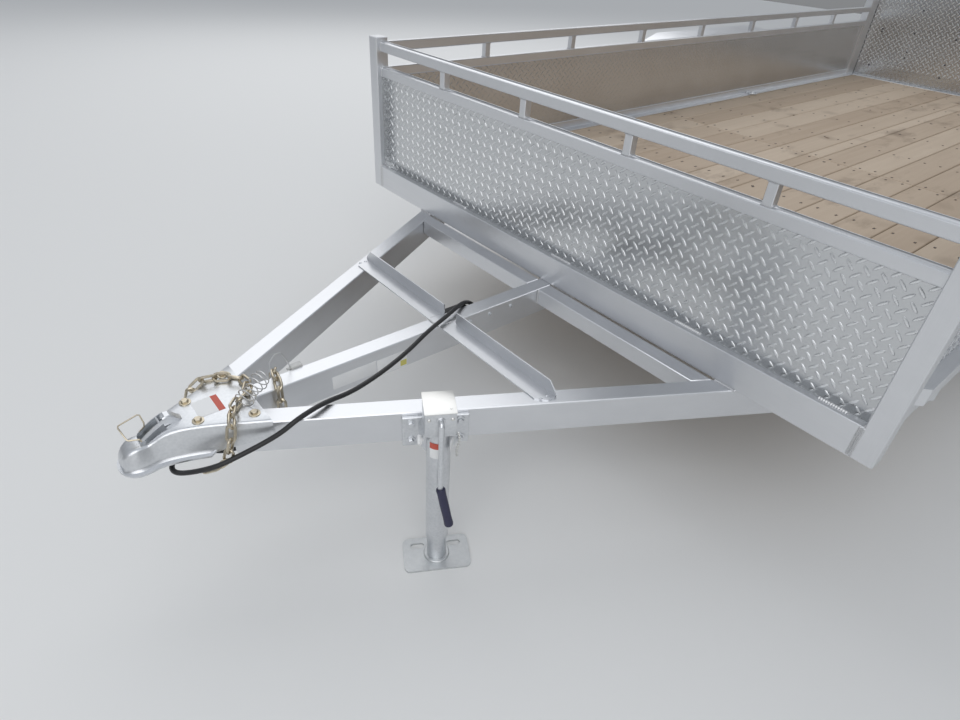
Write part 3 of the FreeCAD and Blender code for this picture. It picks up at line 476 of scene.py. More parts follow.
# The frame: extruded aluminium tube, mill finish, with fine lines along the extrusion and faint
# cloudy patches where it was handled and washed. Each tube's edges are slightly rounded.
def extrusion(name, along):
    """Mill-finish aluminium with die lines along one axis."""
    finish = Finish(name, (0.78, 0.79, 0.81), 0.32, 1.0)
    fine, coarse = 900.0, 3.0
    stretch = [coarse if letter == along else fine for letter in "xyz"]
    lines = finish.noise(finish.stretched(*stretch), 1.0, 2.0)
    clouds = finish.noise(finish.place, 2.6, 4.0, 0.6)
    smears = finish.noise(finish.stretched(9.0, 9.0, 22.0), 1.0, 5.0, 0.65)
    finish.feed("Roughness", 0.20 + lines * 0.08 + clouds * 0.14 + smears * 0.10)
    finish.feed("Base Color", (clouds * 0.5 + lines * 0.2 + smears * 0.3).blend(
        (0.62, 0.63, 0.65), (0.86, 0.87, 0.89)))
    finish.bump(lines, 0.12, 0.0004)
    return finish


tube_x = extrusion("mill_aluminium_x", "x")
tube_y = extrusion("mill_aluminium_y", "y")
tube_z = extrusion("mill_aluminium_z", "z")
TUBES = [
    # node, finish, rounding of its edges
    ("front_beam", tube_y, 0.0022), ("rear_beam", tube_y, 0.0022), ("crossmembers", tube_y, 0.0012),
    ("tongue_cross_tube", tube_y, 0.002),
    ("side_beams", tube_x, 0.0022), ("top_rails", tube_x, 0.0022), ("mid_rails", tube_x, 0.0022),
    ("hold_down_angles", tube_x, 0.0012), ("tongue_rails", tube_x, 0.0026),
    ("tongue_center_rail", tube_x, 0.0022), ("gate_frame", tube_x, 0.0018),
    ("front_posts", tube_z, 0.0024), ("rear_posts", tube_z, 0.0024), ("stanchions", tube_z, 0.0016),
]
for name, finish, edge in TUBES:
    softened(name, finish, edge, "frame_aluminium")


# The rub rails: aluminium tube along the sheet's foot, before and behind each fender. The front one's
# outer corner is cut off slantwise at its front end.
rub_low, rub_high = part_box("rub_rails")
panel_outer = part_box("side_panel_left")[1].y
fender_low, fender_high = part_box("fender_left")
front_cut = 0.0335
rub_rails = Sculpture()
for side in (-1, 1):
    for back, ahead, chamfer in ((rub_low.x, fender_low.x, 0.0), (fender_high.x, rub_high.x, front_cut)):
        rub_rails.prism(
            [(back, side * panel_outer), (back, side * rub_high.y), (ahead - chamfer, side * rub_high.y),
             (ahead, side * panel_outer)], lambda *place: Vector(place), rub_low.z, rub_high.z)
made = rub_rails.piece("rub_rails_cut", "chassis", "frame_aluminium", tube_x)
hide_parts("rub_rails")


# The cross bar: an aluminium angle with clipped corners, laid over the tongue. Its upright leaf has a
# gap that the cable lies in.
bar_back = (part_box("tongue_cross_bar")[0].x - front_x) * 1000
bar_half, bar_deep, bar_tall, leaf, clip = 445.0, 50.8, 38.1, 3.3, 25.4
bar_ahead = bar_back + bar_deep
bar = Sculpture()
bar.prism([(bar_back, -bar_half), (bar_back, bar_half), (bar_ahead - clip, bar_half),
           (bar_ahead, bar_half - clip), (bar_ahead, clip - bar_half), (bar_ahead - clip, -bar_half)],
          spot, 0.0, leaf)
for side, gap_edge in ((-1, -15.0), (1, 43.0)):
    bar.prism(
        [(gap_edge, 1.0), (side * bar_half, 1.0), (side * bar_half, bar_tall - clip),
         (side * (bar_half - clip), bar_tall), (gap_edge, bar_tall)],
        lambda left, lift, ahead: spot(ahead, left, lift), bar_back, bar_back + leaf)
made = bar.piece("cross_bar_clipped", "chassis", "frame_aluminium", tube_y)
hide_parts("tongue_cross_bar")


# The welds: rippled beads of bright aluminium where the beams meet the posts, the panel's foot is
# stitched to the front beam, and the stanchions stand between the rails.
weld = mottled("weld_bead", (0.46, 0.46, 0.47), (0.84, 0.85, 0.86), 0.46, 1.0, 420.0)
STITCHES = [
    # from, to, along the front beam
    (-982, -949), (-518, -445), (-5, 77), (472, 555), (875, 949),
]
stitch_ahead, stitch_up = -17.4, 89.9
WELDS = [
    # a bead's ends on the left side, each ahead, left and up, and its radius; the right side mirrors it
    ((-1.6, 983.6, 3), (-1.6, 983.6, 87.9), 0.0046), ((-1.6, 990.8, 3), (-1.6, 990.8, 87.9), 0.0046),
    ((-1, 991.2, 89.4), (-16.4, 991.2, 89.4), 0.0045), ((-20, 991.2, 429.2), (-20, 991.2, 460), 0.0034),
    ((-20, 991.2, 460), (-48, 991.2, 460), 0.0034), ((-20, 991.2, 517), (-20, 991.2, 547.7), 0.0034),
    ((-20, 991.2, 547.7), (-48, 991.2, 547.7), 0.0034), ((-52, 1016.5, 2), (-52, 1016.5, 87.9), 0.0055),
    ((-4212, 1016.5, 2), (-4212, 1016.5, 87.9), 0.0055), ((-584, 965, 0.5), (-584, 1015, 0.5), 0.004),
    ((-110, 965, 0.5), (-110, 1015, 0.5), 0.004), ((1.5, 638, 0.5), (1.5, 700, 0.5), 0.0036),
    ((440, 25.4, 1), (400, 25.4, 1), 0.0036), ((445.8, -23, 0.5), (445.8, 23, 0.5), 0.0036),
    ((57, 28, -50), (57, 28, -2), 0.0036),
]
welds = Sculpture()
for start, end in STITCHES:
    welds.bead([spot(stitch_ahead, start, stitch_up), spot(stitch_ahead, end, stitch_up)], 0.0052)
for start, end, radius in WELDS:
    for side in (-1, 1):
        welds.bead([spot(ahead, side * left, lift) for ahead, left, lift in (start, end)], radius)


def islands(mesh):
    """The corners of each separate solid of a mesh."""
    work = bmesh.new()
    work.from_mesh(mesh)
    bmesh.ops.remove_doubles(work, verts=work.verts, dist=merge_reach)
    left = set(work.verts)
    groups = []
    while left:
        group, wave = [], [left.pop()]
        while wave:
            vert = wave.pop()
            group.append(vert.co.copy())
            for edge in vert.link_edges:
                other = edge.other_vert(vert)
                if other in left:
                    left.remove(other)
                    wave.append(other)
        groups.append(group)
    work.free()
    return groups


for corners in islands(nodes["stanchions"].data):
    low = Vector([min(corner[axis] for corner in corners) for axis in range(3)])
    high = Vector([max(corner[axis] for corner in corners) for axis in range(3)])
    for level in (low.z + 0.0006, high.z - 0.0006):
        welds.bead([
            Vector((x, y, level)) for x, y in (
                (low.x, low.y), (high.x, low.y), (high.x, high.y), (low.x, high.y), (low.x, low.y))], 0.0024)
welds.piece("weld_beads", "chassis", "frame_aluminium", weld)


# The panels: bright rolled sheet with raised lugs outside and their faint print inside. The lugs are
# one low lens, repeated in rows of two slopes by a node tree and cut at the sheet's edges.
lug_pitch_across = 0.0355
lug_pitch_up = 0.034
lug_length = 0.0295
lug_width = 0.0080
lug_height = 0.0017


def lug_mask(finish, across, up, slope):
    """1 inside the lugs that slope one way on a checkerboard of pitches, and 0 between them."""
    shift = 0.0 if slope > 0 else 0.5
    du = ((across / lug_pitch_across + shift).fract() - 0.5) * lug_pitch_across
    dv = ((up / lug_pitch_up + shift).fract() - 0.5) * lug_pitch_up
    along = (du + dv * slope) * math.sqrt(0.5)
    aside = (du - dv * slope) * math.sqrt(0.5)
    reach = (along / (lug_length * 0.5)) ** 2.0 + (aside / (lug_width * 0.5)) ** 2.0
    return 1.0 - reach.clamp(0.0, 1.0)


def sheet_finish(name, across_axis):
    """Rolled sheet with the lugs' print, hazy patches and a few long scuffs."""
    finish = Finish(name, (0.80, 0.81, 0.83), 0.2, 1.0)
    across = finish.x if across_axis == "x" else finish.y
    print_height = lug_mask(finish, across, finish.z, 1.0) + lug_mask(finish, across, finish.z, -1.0)
    haze = finish.noise(finish.place, 3.5, 5.0, 0.6)
    scuffs = finish.noise(finish.stretched(5.0, 5.0, 60.0), 1.0, 4.0, 0.7)
    finish.feed("Roughness", 0.10 + haze * 0.16 + scuffs * 0.10)
    finish.feed("Base Color", (haze * 0.7 + scuffs * 0.3).blend((0.50, 0.51, 0.52), (0.74, 0.75, 0.76)))
    finish.bump(print_height, 0.5, 0.0012)
    return finish


sheet_side = sheet_finish("rolled_sheet_side", "x")
sheet_end = sheet_finish("rolled_sheet_end", "y")
for name, finish in (
        ("front_panel", sheet_end), ("gate_panel", sheet_end), ("side_panel_left", sheet_side),
        ("side_panel_right", sheet_side)):
    nodes[name].data.materials.clear()
    nodes[name].data.materials.append(finish.material)
lug_finish = mottled("lug_faces", (0.70, 0.71, 0.72), (0.90, 0.91, 0.92), 0.28, 1.0, 60.0, 0.16)

lug_tree = bpy.data.node_groups.new("lug_rows", "GeometryNodeTree")
LUG_INPUTS = [
    # name, kind of socket
    ("Geometry", "Geometry"), ("Columns", "Int"), ("Rows", "Int"), ("Pitch across", "Float"),
    ("Pitch up", "Float"), ("Material", "Material"),
]
for name, kind in LUG_INPUTS:
    lug_tree.interface.new_socket(name, in_out="INPUT", socket_type=f"NodeSocket{kind}")
lug_tree.interface.new_socket("Geometry", in_out="OUTPUT", socket_type="NodeSocketGeometry")
lug_in = {socket.name: Wire(lug_tree, socket) for socket in lug_tree.nodes.new("NodeGroupInput").outputs}
lug_out = lug_tree.nodes.new("NodeGroupOutput")
lug_join = lug_tree.nodes.new("GeometryNodeJoinGeometry")
for slope in (1.0, -1.0):
    grid = lug_in["Geometry"].made("GeometryNodeMeshGrid", **{
        "Vertices X": lug_in["Columns"] + 1, "Vertices Y": lug_in["Rows"] + 1,
        "Size X": lug_in["Columns"] * lug_in["Pitch across"], "Size Y": lug_in["Rows"] * lug_in["Pitch up"]})
    put = grid.made("GeometryNodeInstanceOnPoints", Points=grid, Instance=lug_in["Geometry"],
                    Rotation=(0.0, 0.0, slope * math.radians(45)))
    half_pitch = (lug_pitch_across / 2, lug_pitch_up / 2, 0.0)
    moved = put.made("GeometryNodeTransform", Geometry=put,
                     Translation=half_pitch if slope < 0 else (0.0, 0.0, 0.0))
    lug_tree.links.new(moved.socket, lug_join.inputs[0])
real = moved.made("GeometryNodeRealizeInstances", Geometry=Wire(lug_tree, lug_join.outputs[0]))
painted = real.made("GeometryNodeSetMaterial", Geometry=real, Material=lug_in["Material"])
lug_tree.links.new(painted.socket, lug_out.inputs[0])


def grown(name, start_mesh, tree, settings):
    """Run a tree on a start mesh and give back the plain mesh that it makes."""
    seed = placed(name, start_mesh)
    modifier = seed.modifiers.new("grow", "NODES")
    modifier.node_group = tree
    for item in tree.interface.items_tree:
        if item.item_type == "SOCKET" and item.in_out == "INPUT" and item.name in settings:
            modifier[item.identifier] = settings[item.name]
    graph = bpy.context.evaluated_depsgraph_get()
    result = bpy.data.meshes.new_from_object(seed.evaluated_get(graph))
    bpy.data.objects.remove(seed)
    return result


LUG_LEVELS = [
    # share of the length, of the width, of the height
    (1.0, 1.0, -0.2), (0.84, 0.72, 0.72), (0.6, 0.3, 1.0),
]


lug_sides = 8


def lug_mesh():
    """One lug: a long low lens with a ridge, open below."""
    lug = Sculpture()
    rings = []
    for share_along, share_across, lift in LUG_LEVELS:
        corners = ring(
            Vector((0, 0, lug_height * lift)), Vector((lug_length / 2 * share_along, 0, 0)),
            Vector((0, lug_width / 2 * share_across, 0)), 1.0, lug_sides)
        rings.append([lug.bm.verts.new(corner) for corner in corners])
    for low, high in zip(rings, rings[1:]):
        lug.band(low, high)
    lug.face(rings[-1])
    mesh = bpy.data.meshes.new("lug")
    lug.bm.to_mesh(mesh)
    lug.bm.free()
    return mesh


def lug_field(name, low, high, axis, facing, body):
    """Lugs over a flat face, between two corners, on the sheet's own pattern and cut at its edges."""
    across = 0 if axis == 1 else 1
    first_column = math.floor(low[across] / lug_pitch_across)
    first_row = math.floor(low[2] / lug_pitch_up)
    columns = math.ceil(high[across] / lug_pitch_across) - first_column
    rows = math.ceil(high[2] / lug_pitch_up) - first_row
    mesh = grown(name, lug_mesh(), lug_tree, {
        "Columns": columns, "Rows": rows, "Pitch across": lug_pitch_across, "Pitch up": lug_pitch_up,
        "Material": lug_finish.material})
    mesh.transform(Matrix.Translation((
        lug_pitch_across * (first_column + columns / 2 + 0.5),
        lug_pitch_up * (first_row + rows / 2 + 0.5), 0.0)))
    face_at = low[axis]
    field = Sculpture()
    field.bm.from_mesh(mesh)
    for vert in field.bm.verts:
        u, v, out = vert.co
        place = Vector((0.0, 0.0, v))
        place[across] = u
        place[axis] = face_at + facing * out
        vert.co = place
    for letter in (across, 2):
        for edge, sign in ((low[letter], -1.0), (high[letter], 1.0)):
            middle = Vector((0.0, 0.0, 0.0))
            middle[letter] = edge
            normal = Vector((0.0, 0.0, 0.0))
            normal[letter] = sign
            everything = field.bm.verts[:] + field.bm.edges[:] + field.bm.faces[:]
            bmesh.ops.bisect_plane(
                field.bm, geom=everything, plane_co=middle, plane_no=normal, clear_outer=True)
    field.piece(name, body, "tread_plate", lug_finish)


front_low, front_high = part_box("front_panel")
front_sheet, hem = 0.0032, 0.004
front_face = front_low.x + front_sheet
lug_field(
    "front_lugs", (front_face, front_low.y + hem, front_low.z + hem),
    (front_face, front_high.y - hem, front_high.z), 0, 1.0, "chassis")
lug_field(
    "foot_lugs", (front_face, front_low.y + hem, front_low.z + 0.0005),
    (front_face, front_high.y - hem, front_low.z + 0.003), 0, 1.0, "chassis")
for word, sign in (("left", 1.0), ("right", -1.0)):
    side_low, side_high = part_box(f"side_panel_{word}")
    outer = side_high.y if sign > 0 else side_low.y
    lug_field(
        f"side_lugs_{word}", (side_low.x, outer, side_low.z), (side_high.x, outer, side_high.z), 1, sign,
        "chassis")
gate_low, gate_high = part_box("gate_panel")
lug_field(
    "gate_lugs", (gate_high.x, gate_low.y, gate_low.z + 0.095), (gate_high.x, gate_high.y, gate_high.z), 0,
    1.0, "gate")


# The gate's screws: two dark rows on each side hold the sheet to the frame's tubes, and the upper half
# repeats the lower one.
GATE_SCREWS = [
    # left, up, on the gate's lower half
    (-673, 560), (-398, 560), (-897, 413), (-673, 413), (-398, 413), (-673, 290), (-897, 395), (-673, 251),
    (-398, 251), (-897, 166), (-398, 166),
]
screws_black = mottled("screw_dark", (0.05, 0.05, 0.055), (0.16, 0.16, 0.17), 0.45, 0.8, 300.0)
gate_face = (gate_high.x - front_x) * 1000
screws = Sculpture()
upper_half = 640
for sign in (-1, 1):
    for left, lift in GATE_SCREWS:
        for level in (lift, lift + upper_half):
            screws.stud(spot(gate_face, sign * left, level), Vector((1, 0, 0)), 0.0065, 0.003)
screws.piece("gate_screws", "gate", "tread_plate", screws_black)


# The deck: pressure-treated planks, weathered pale, each with its own tone, grain and knots, held by
# two dark screws at every crossmember, sunk a little with a torn dark edge.
board_pitch, board_width, deck_half, deck_top = 142.9, 139.7, 962.0, 88.9
plank_pitch = board_pitch / 1000
middle_seam = -0.036
deck_low, deck_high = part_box("deck_boards_rear")
joint_x = deck_high.x
plank = Finish("deck_planks", (0.55, 0.44, 0.30), 0.75)
far_index = ((plank.y - deck_low.y) / plank_pitch).floor()
near_index = ((deck_high.y - plank.y) / plank_pitch).floor() + 20.0
is_near = plank.y.above(middle_seam, 0.0001)
board_index = far_index * (1.0 - is_near) + near_index * is_near
board_number = board_index + plank.x.above(joint_x + 0.0016, 0.0001) * 57.0
tone = plank.place.made("ShaderNodeTexWhiteNoise", {"noise_dimensions": "1D"}, W=board_number)
shifted_y = plank.y + board_number * 3.17
flat_place = plank.point(plank.x * 7.0, shifted_y * 7.0, 0.0)
knots = plank.place.made("ShaderNodeTexVoronoi", {"feature": "F1"}, Vector=flat_place, Scale=1.0)
knot_tint = Wire(plank.tree, knots.socket.node.outputs["Color"])
knot_pick = plank.place.made("ShaderNodeSeparateColor", n0=knot_tint).above(0.82, 0.01)
knot = (1.0 - (knots / 0.10).clamp()) * knot_pick
halo = (1.0 - (knots / 0.42).clamp()) * knot_pick
grain_place = plank.point(plank.x * 1.3, (shifted_y + halo * 0.02) * 26.0, plank.z * 8.0)
grain = plank.noise(grain_place, 1.0, 5.0, 0.6, 0.8)
fibre = plank.noise(plank.point(plank.x * 8.0, shifted_y * 420.0, plank.z * 90.0), 1.0, 3.0, 0.6)
stain = plank.noise(plank.point(plank.x * 1.2, shifted_y * 3.0, plank.z), 1.6, 5.0, 0.65)
blotch = plank.noise(plank.stretched(2.2, 4.5, 1.0), 1.0, 5.0, 0.7).above(0.63, 0.14)
wood = grain.blend((0.36, 0.25, 0.165), (0.64, 0.52, 0.40))
toned = (tone * 0.6 + stain * 0.4).blend((0.38, 0.29, 0.21), (0.70, 0.60, 0.48))
mixed = plank.place.made("ShaderNodeMix", {"data_type": "RGBA"}, n0=0.58, n6=wood, n7=toned).colour()
darkened = (blotch * 0.45).blend(mixed, (0.17, 0.12, 0.085))
knotted = (knot + halo * 0.35).clamp(0.0, 0.92).blend(darkened, (0.10, 0.055, 0.03))
plank.feed("Base Color", knotted)
plank.feed("Roughness", 0.62 + stain * 0.25)
plank.bump(grain * 0.5 + fibre * 0.4 - knot * 0.3, 0.5, 0.0014)
for name in ("deck_boards_front", "deck_boards_rear"):
    softened(name, plank, 0.0032, "deck_wood")

SCREW_ROWS = [
    # millimetres behind the front face
    90, 640, 1200, 1828, 1891, 2274, 2714, 3160, 3600, 4040, 4228,
]
torn = mottled("torn_wood", (0.08, 0.045, 0.03), (0.20, 0.12, 0.07), 0.85, 0.0, 900.0)
boards = Sculpture()
up = Vector((0, 0, 1))
hole_half = up * 0.0006
board_starts = [-deck_half + index * board_pitch for index in range(7)]
board_starts += [deck_half - board_width - index * board_pitch for index in range(7)]
for number, start in enumerate(board_starts):
    for row, back in enumerate(SCREW_ROWS):
        for side, share in enumerate((0.24, 0.76)):
            wander = math.sin(number * 12.9 + row * 7.3 + side * 3.1)
            place = spot(-back + wander * 9.0, start + board_width * share + wander * 5.0, deck_top - 0.4)
            boards.material = 0
            boards.turned(place, up, [(0.0, 0.0042), (0.0009, 0.0042), (0.0007, 0.0)], 10)
            boards.material = 1
            rim = []
            for corner in range(9):
                angle = math.tau * corner / 9
                reach = 0.0062 + 0.0022 * math.sin(corner * 2.7 + number + row)
                rim.append(place + Vector((
                    math.cos(angle) * reach * 1.5, math.sin(angle) * reach * 0.8 + wander * 0.0007, 0.0)))
            boards.skin([[corner - hole_half for corner in rim], [corner + hole_half for corner in rim]])
boards.piece("deck_screws", "chassis", "deck_wood", screws_black, torn)


# The fenders: plain bright aluminium sheet bent over each pair of wheels, with its edges rounded, and
# fixed to the side beams.
fender_finish = extrusion("fender_sheet", "x")
for word in ("left", "right"):
    softened(f"fender_{word}", fender_finish, 0.0014, "tread_plate")


# The coupler: pressed zinc-plated steel with soft edges, drawn in from the rails' ends to a nose over
# the ball, with a turned socket and a flange below. The zinc's finish is used on all such pieces.
zinc = Finish("zinc_plate", (0.66, 0.67, 0.68), 0.4, 1.0)
zinc_spangle = zinc.place.made("ShaderNodeTexVoronoi", {"feature": "F1"}, Vector=zinc.place, Scale=140.0)
zinc_cloud = zinc.noise(zinc.place, 18.0, 4.0, 0.6)
zinc.feed("Roughness", 0.24 + zinc_cloud * 0.22)
zinc.feed("Base Color", (zinc_cloud * 0.7 + zinc_spangle * 0.3).blend(
    (0.56, 0.58, 0.60), (0.84, 0.85, 0.87)))
yellow_zinc = mottled("yellow_zinc", (0.38, 0.34, 0.30), (0.80, 0.71, 0.52), 0.32, 1.0, 90.0)
# A dark mottled metal laid in the latch lever's channel: painted shade, not the lever's own colour.
channel_shade_paint = mottled("painted_channel_shade", (0.10, 0.11, 0.12), (0.30, 0.32, 0.34), 0.35, 1.0, 45.0)
coupler_top = 4.8
coupler_low = -76.0
flange_reach = 13.0
sheet = 4.8
socket_ahead = 1250
quarter = math.pi / 2
COUPLER_TOP_LINE = [
    # ahead, top of the shell, half width at the shoulder, half width at the skirt's foot, foot's height
    (988, 4.8, 131, 134.5, -42), (1020, 4.8, 113, 116.5, -50), (1050, 4.8, 97, 100.5, -58),
    (1080, 4.8, 80.5, 84.5, -66), (1106, 4.8, 67, 71.5, -72), (1120, 4.8, 60.5, 66, -76),
    (1140, 4.6, 52, 58, -76), (1160, 3.8, 44, 50.5, -76), (1178, 1.5, 38, 44.5, -76),
    (1194, -3, 33, 40, -76), (1208, -10, 28.5, 37, -76), (1220, -17.5, 25.5, 36, -76),
    (1229, -21.5, 25, 37, -76), (1238, -20.5, 26.5, 38.5, -76), (1248, -20, 27, 39.5, -76),
    (1258, -21, 26.5, 39, -76), (1267, -24.5, 24.5, 36.5, -76), (1275, -30, 21.5, 32, -76),
    (1281, -37, 18, 26.5, -76), (1285, -44.5, 13.5, 20.5, -76), (1287.5, -52, 8.5, 13.5, -76),
    (1288.6, -60, 4, 6.5, -76),
]
shell = Sculpture()
courses = []
for ahead, top, shoulder, foot, low in COUPLER_TOP_LINE:
    deep = top - low
    lip = flange_reach * min(max((ahead - 1104) / 16, 0.0), 1.0)
    half = [(0.0, top + 0.001), (shoulder * 0.55, top)]
    for turn in (10, 30, 50, 70):
        corner = math.radians(turn)
        round_off = min(9.0, shoulder * 0.45)
        half.append((shoulder - round_off + round_off * math.sin(corner) + 1.5,
                     top - round_off + round_off * math.cos(corner)))
    curl = min(deep * 0.2, 12.0)
    half += [(shoulder + (foot - shoulder) * 0.35 + 1.0, top - deep * 0.38),
             (foot - 0.5, top - deep * 0.6), (foot, low + sheet + curl),
             (foot + lip * 0.12, low + sheet + curl * 0.6), (foot + lip * 0.4, low + sheet + curl * 0.25),
             (foot + lip, low + sheet), (foot + lip, low), (max(foot - sheet, 1.0), low)]
    inner = [(max(foot - sheet, 1.0), top - deep * 0.5),
             (max(shoulder - sheet, 0.8), top - sheet - min(deep * 0.05, 3.0)), (0.0, top - sheet)]
    loop = half + inner[:-1]
    near_half = [spot(ahead, left, lift) for left, lift in loop] + [spot(ahead, *inner[-1])]
    courses.append(near_half + [spot(ahead, -left, lift) for left, lift in reversed(loop[1:])])
shell.skin(courses)
shell.turned(spot(socket_ahead, 0, -62), up, [
    (-0.010, 0.0259), (-0.010, 0.0330), (0.012, 0.0305), (0.026, 0.0180), (0.030, 0.0060), (0.0262, 0.0058),
    (0.0215, 0.0150), (0.010, 0.0240)], 28, True)


def arc(middle, reach, start, end, steps):
    """Flat corners of an arc about a middle, from angle to angle, by its reach each way."""
    angles = [start + (end - start) * step / steps for step in range(steps + 1)]
    return [(middle[0] + reach[0] * math.cos(angle), middle[1] + reach[1] * math.sin(angle))
            for angle in angles]


lip = arc((socket_ahead, 0), (46, 52), -quarter, quarter, 16)
lip += arc((socket_ahead, 0), (32, 32), -quarter, quarter, 16)[::-1]
shell.prism(lip, spot, coupler_low, coupler_low + sheet)
made = shell.piece("coupler_pressed", "chassis", "zinc_steel", zinc)
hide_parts("coupler")


# The latch: a humped cover on the coupler's nose and a pressed lever whose channel floor is painted dark
# as shade, held by a bent wire pin. Four yellow bolts go through the coupler's foot.
latch = Sculpture()
HUMP_STATIONS = [
    # ahead, height of the hump's top
    (1145, 5.2), (1152, 10), (1160, 20), (1168, 25.5), (1178, 26.5), (1184, 24),
]
latch.skin([[spot(ahead, left, lift) for left, lift in (
    (-11.5, 3), (-11.5, top - 2.5), (-9, top), (9, top), (11.5, top - 2.5), (11.5, 3))]
    for ahead, top in HUMP_STATIONS])
LEVER_STATIONS = [
    # ahead, height of its floor, height of its walls
    (1176, 14, 9), (1186, 12, 9.5), (1206, 2, 10), (1222, -8, 10), (1236, -17, 8.5),
    (1240, -19, 5),
]
latch.skin([[spot(ahead, left, lift) for left, lift in (
    (-13.5, floor_z), (-13.5, floor_z + wall), (-11, floor_z + wall), (-11, floor_z + 2.5),
    (11, floor_z + 2.5), (11, floor_z + wall), (13.5, floor_z + wall), (13.5, floor_z))]
    for ahead, floor_z, wall in LEVER_STATIONS])
# The channel's floor: a thin dark layer, painted shade inside the lever's channel.
latch.material = 1
latch.skin([[spot(ahead, left, lift) for left, lift in (
    (-10.9, floor_z + 2.2), (-10.9, floor_z + 3.4), (10.9, floor_z + 3.4), (10.9, floor_z + 2.2))]
    for ahead, floor_z, wall in LEVER_STATIONS])
latch.material = 0
latch.stud(spot(1181, 0, 17), Vector((0.3, 0, 1)), 0.005, 0.009)
latch.rod([spot(1192, -13.6, 14), spot(1192, 13.6, 14)], 0.0028, 10)
made = latch.piece("coupler_latch_lever", "chassis", "zinc_steel", zinc, channel_shade_paint)
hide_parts("coupler_latch")
BOLTS = [
    # ahead, left
    (1122, -42), (1120, 38), (1010, 86), (1015, -94),
]
bolts = Sculpture()
for ahead, left in BOLTS:
    bolts.bolt(spot(ahead, left, coupler_top), up, 0.0078)
pin_path = [
    (1236, 17, -11), (1239, 10, -8), (1258, 5, -5), (1261, 3, -3), (1267, -27, 13), (1265, -31, 15),
    (1224, -26, 30), (1220, -23, 29), (1219, -1, 22), (1221, 4, 16), (1232, -16, -9),
]
bolts.rod([spot(*place) for place in pin_path], 0.0018, 6)
bolts.piece("coupler_bolts", "chassis", "zinc_steel", yellow_zinc)


# The blank labels: thin stickers on the coupler's top and on the centre rail's side, whose words are
# left out.
label_white = mottled("blank_label", (0.78, 0.79, 0.80), (0.88, 0.88, 0.87), 0.4, 0.0, 30.0)
label_red = mottled("label_red", (0.50, 0.07, 0.04), (0.62, 0.12, 0.08), 0.4, 0.0, 50.0)
label_amber = mottled("label_amber", (0.55, 0.50, 0.10), (0.66, 0.60, 0.18), 0.4, 0.0, 50.0)
labels = Sculpture()
labels.block(spot(1092, 0, coupler_top + 0.3), (0.044, 0.062, 0.0007))
labels.material = 1
labels.block(spot(1062.5, 0, coupler_top + 0.3), (0.015, 0.062, 0.0007))
labels.material = 0
for middle, length, level, height in ((719, 130, -51, 40), (603, 96, -59, 52)):
    labels.block(spot(middle, 25.7, level), (length / 1000, 0.0008, height / 1000), 0.0003)
labels.material = 2
labels.block(spot(567, 26.2, -72), (0.020, 0.0008, 0.018))
labels.piece("blank_labels", "chassis", "frame_aluminium", label_white, label_red, label_amber)


# The safety chains: links of bent wire, zinc-plated and gone yellow, threaded one through the next along
# their course, with the coiled lanyard of the breakaway switch beside them.
CHAINS = [
    # half width of what it lies over, then its places: ahead of the front face, left, above the rails
    (100, [
        (1105, -92, -60), (1102, -90, -24), (1092, -85, 5), (1076, -87, 15), (1053, -90, 16), (1028, -76, 15),
        (1000, -60, 15.2), (984, -34, 15), (984, -4, 15), (1002, 18, 15), (1030, 36, 15), (1052, 64, 16.5),
        (1066, 101, 22), (1080, 122, -2), (1089, 120, -42), (1096, 114, -70), (1112, 102, -91),
        (1136, 88, -99), (1158, 80, -101),
    ]),
    (32, [
        (930, 41, -86), (930, 44, -30), (929, 43, -3), (926, 32, 11), (921, 12, 14.6), (915, -12, 14.6),
        (909, -37, 14.2), (907, -46, -13), (906, -43, -80),
    ]),
]
link_pitch = 0.0314
half_along, half_across, wire_radius = 0.0193, 0.0098, 0.0035
link_steps = 20
link_sides = 8


def course_of(points, steps):
    """The smooth course through the points, each stretch drawn out from its neighbours' slopes."""
    course = []
    for index in range(len(points) - 1):
        before, here = points[max(index - 1, 0)], points[index]
        after, beyond = points[index + 1], points[min(index + 2, len(points) - 1)]
        for step in range(steps):
            share = step / steps
            course.append(
                here * (1 + share * share * (1.5 * share - 2.5))
                + after * (share * (0.5 + share * (2 - 1.5 * share)))
                + before * (share * (share * (1 - 0.5 * share) - 0.5))
                + beyond * (share * share * 0.5 * (share - 1)))
    return course + [points[-1]]


chains = Sculpture()
for edge, places in CHAINS:
    course = course_of([spot(*place) for place in places], 60)
    ends = [course[0]]
    for place in course:
        if (place - ends[-1]).length >= link_pitch:
            ends.append(ends[-1] + (place - ends[-1]).normalized() * link_pitch)
    turn = math.radians(45)
    straight = half_along - half_across
    for start, end in zip(ends, ends[1:]):
        along = (end - start).normalized()
        upward = Vector((0, ((start.y + end.y) / (0.002 * edge)) ** 5, 1))
        upward = (upward - along * upward.dot(along)).normalized()
        flat = Matrix.Rotation(turn, 3, along) @ upward
        across = along.cross(flat).normalized()
        middle = (start + end) / 2
        corners = []
        for index in range(link_steps):
            angle = math.tau * (index + 0.5) / link_steps
            shift = straight if math.cos(angle) > 0 else -straight
            corners.append(middle + along * (math.cos(angle) * half_across + shift)
                           + across * math.sin(angle) * half_across)
        chains.rod(corners, wire_radius, link_sides, True, flat)
        turn = -turn
chains.piece("safety_chain_links", "chassis", "zinc_steel", yellow_zinc)


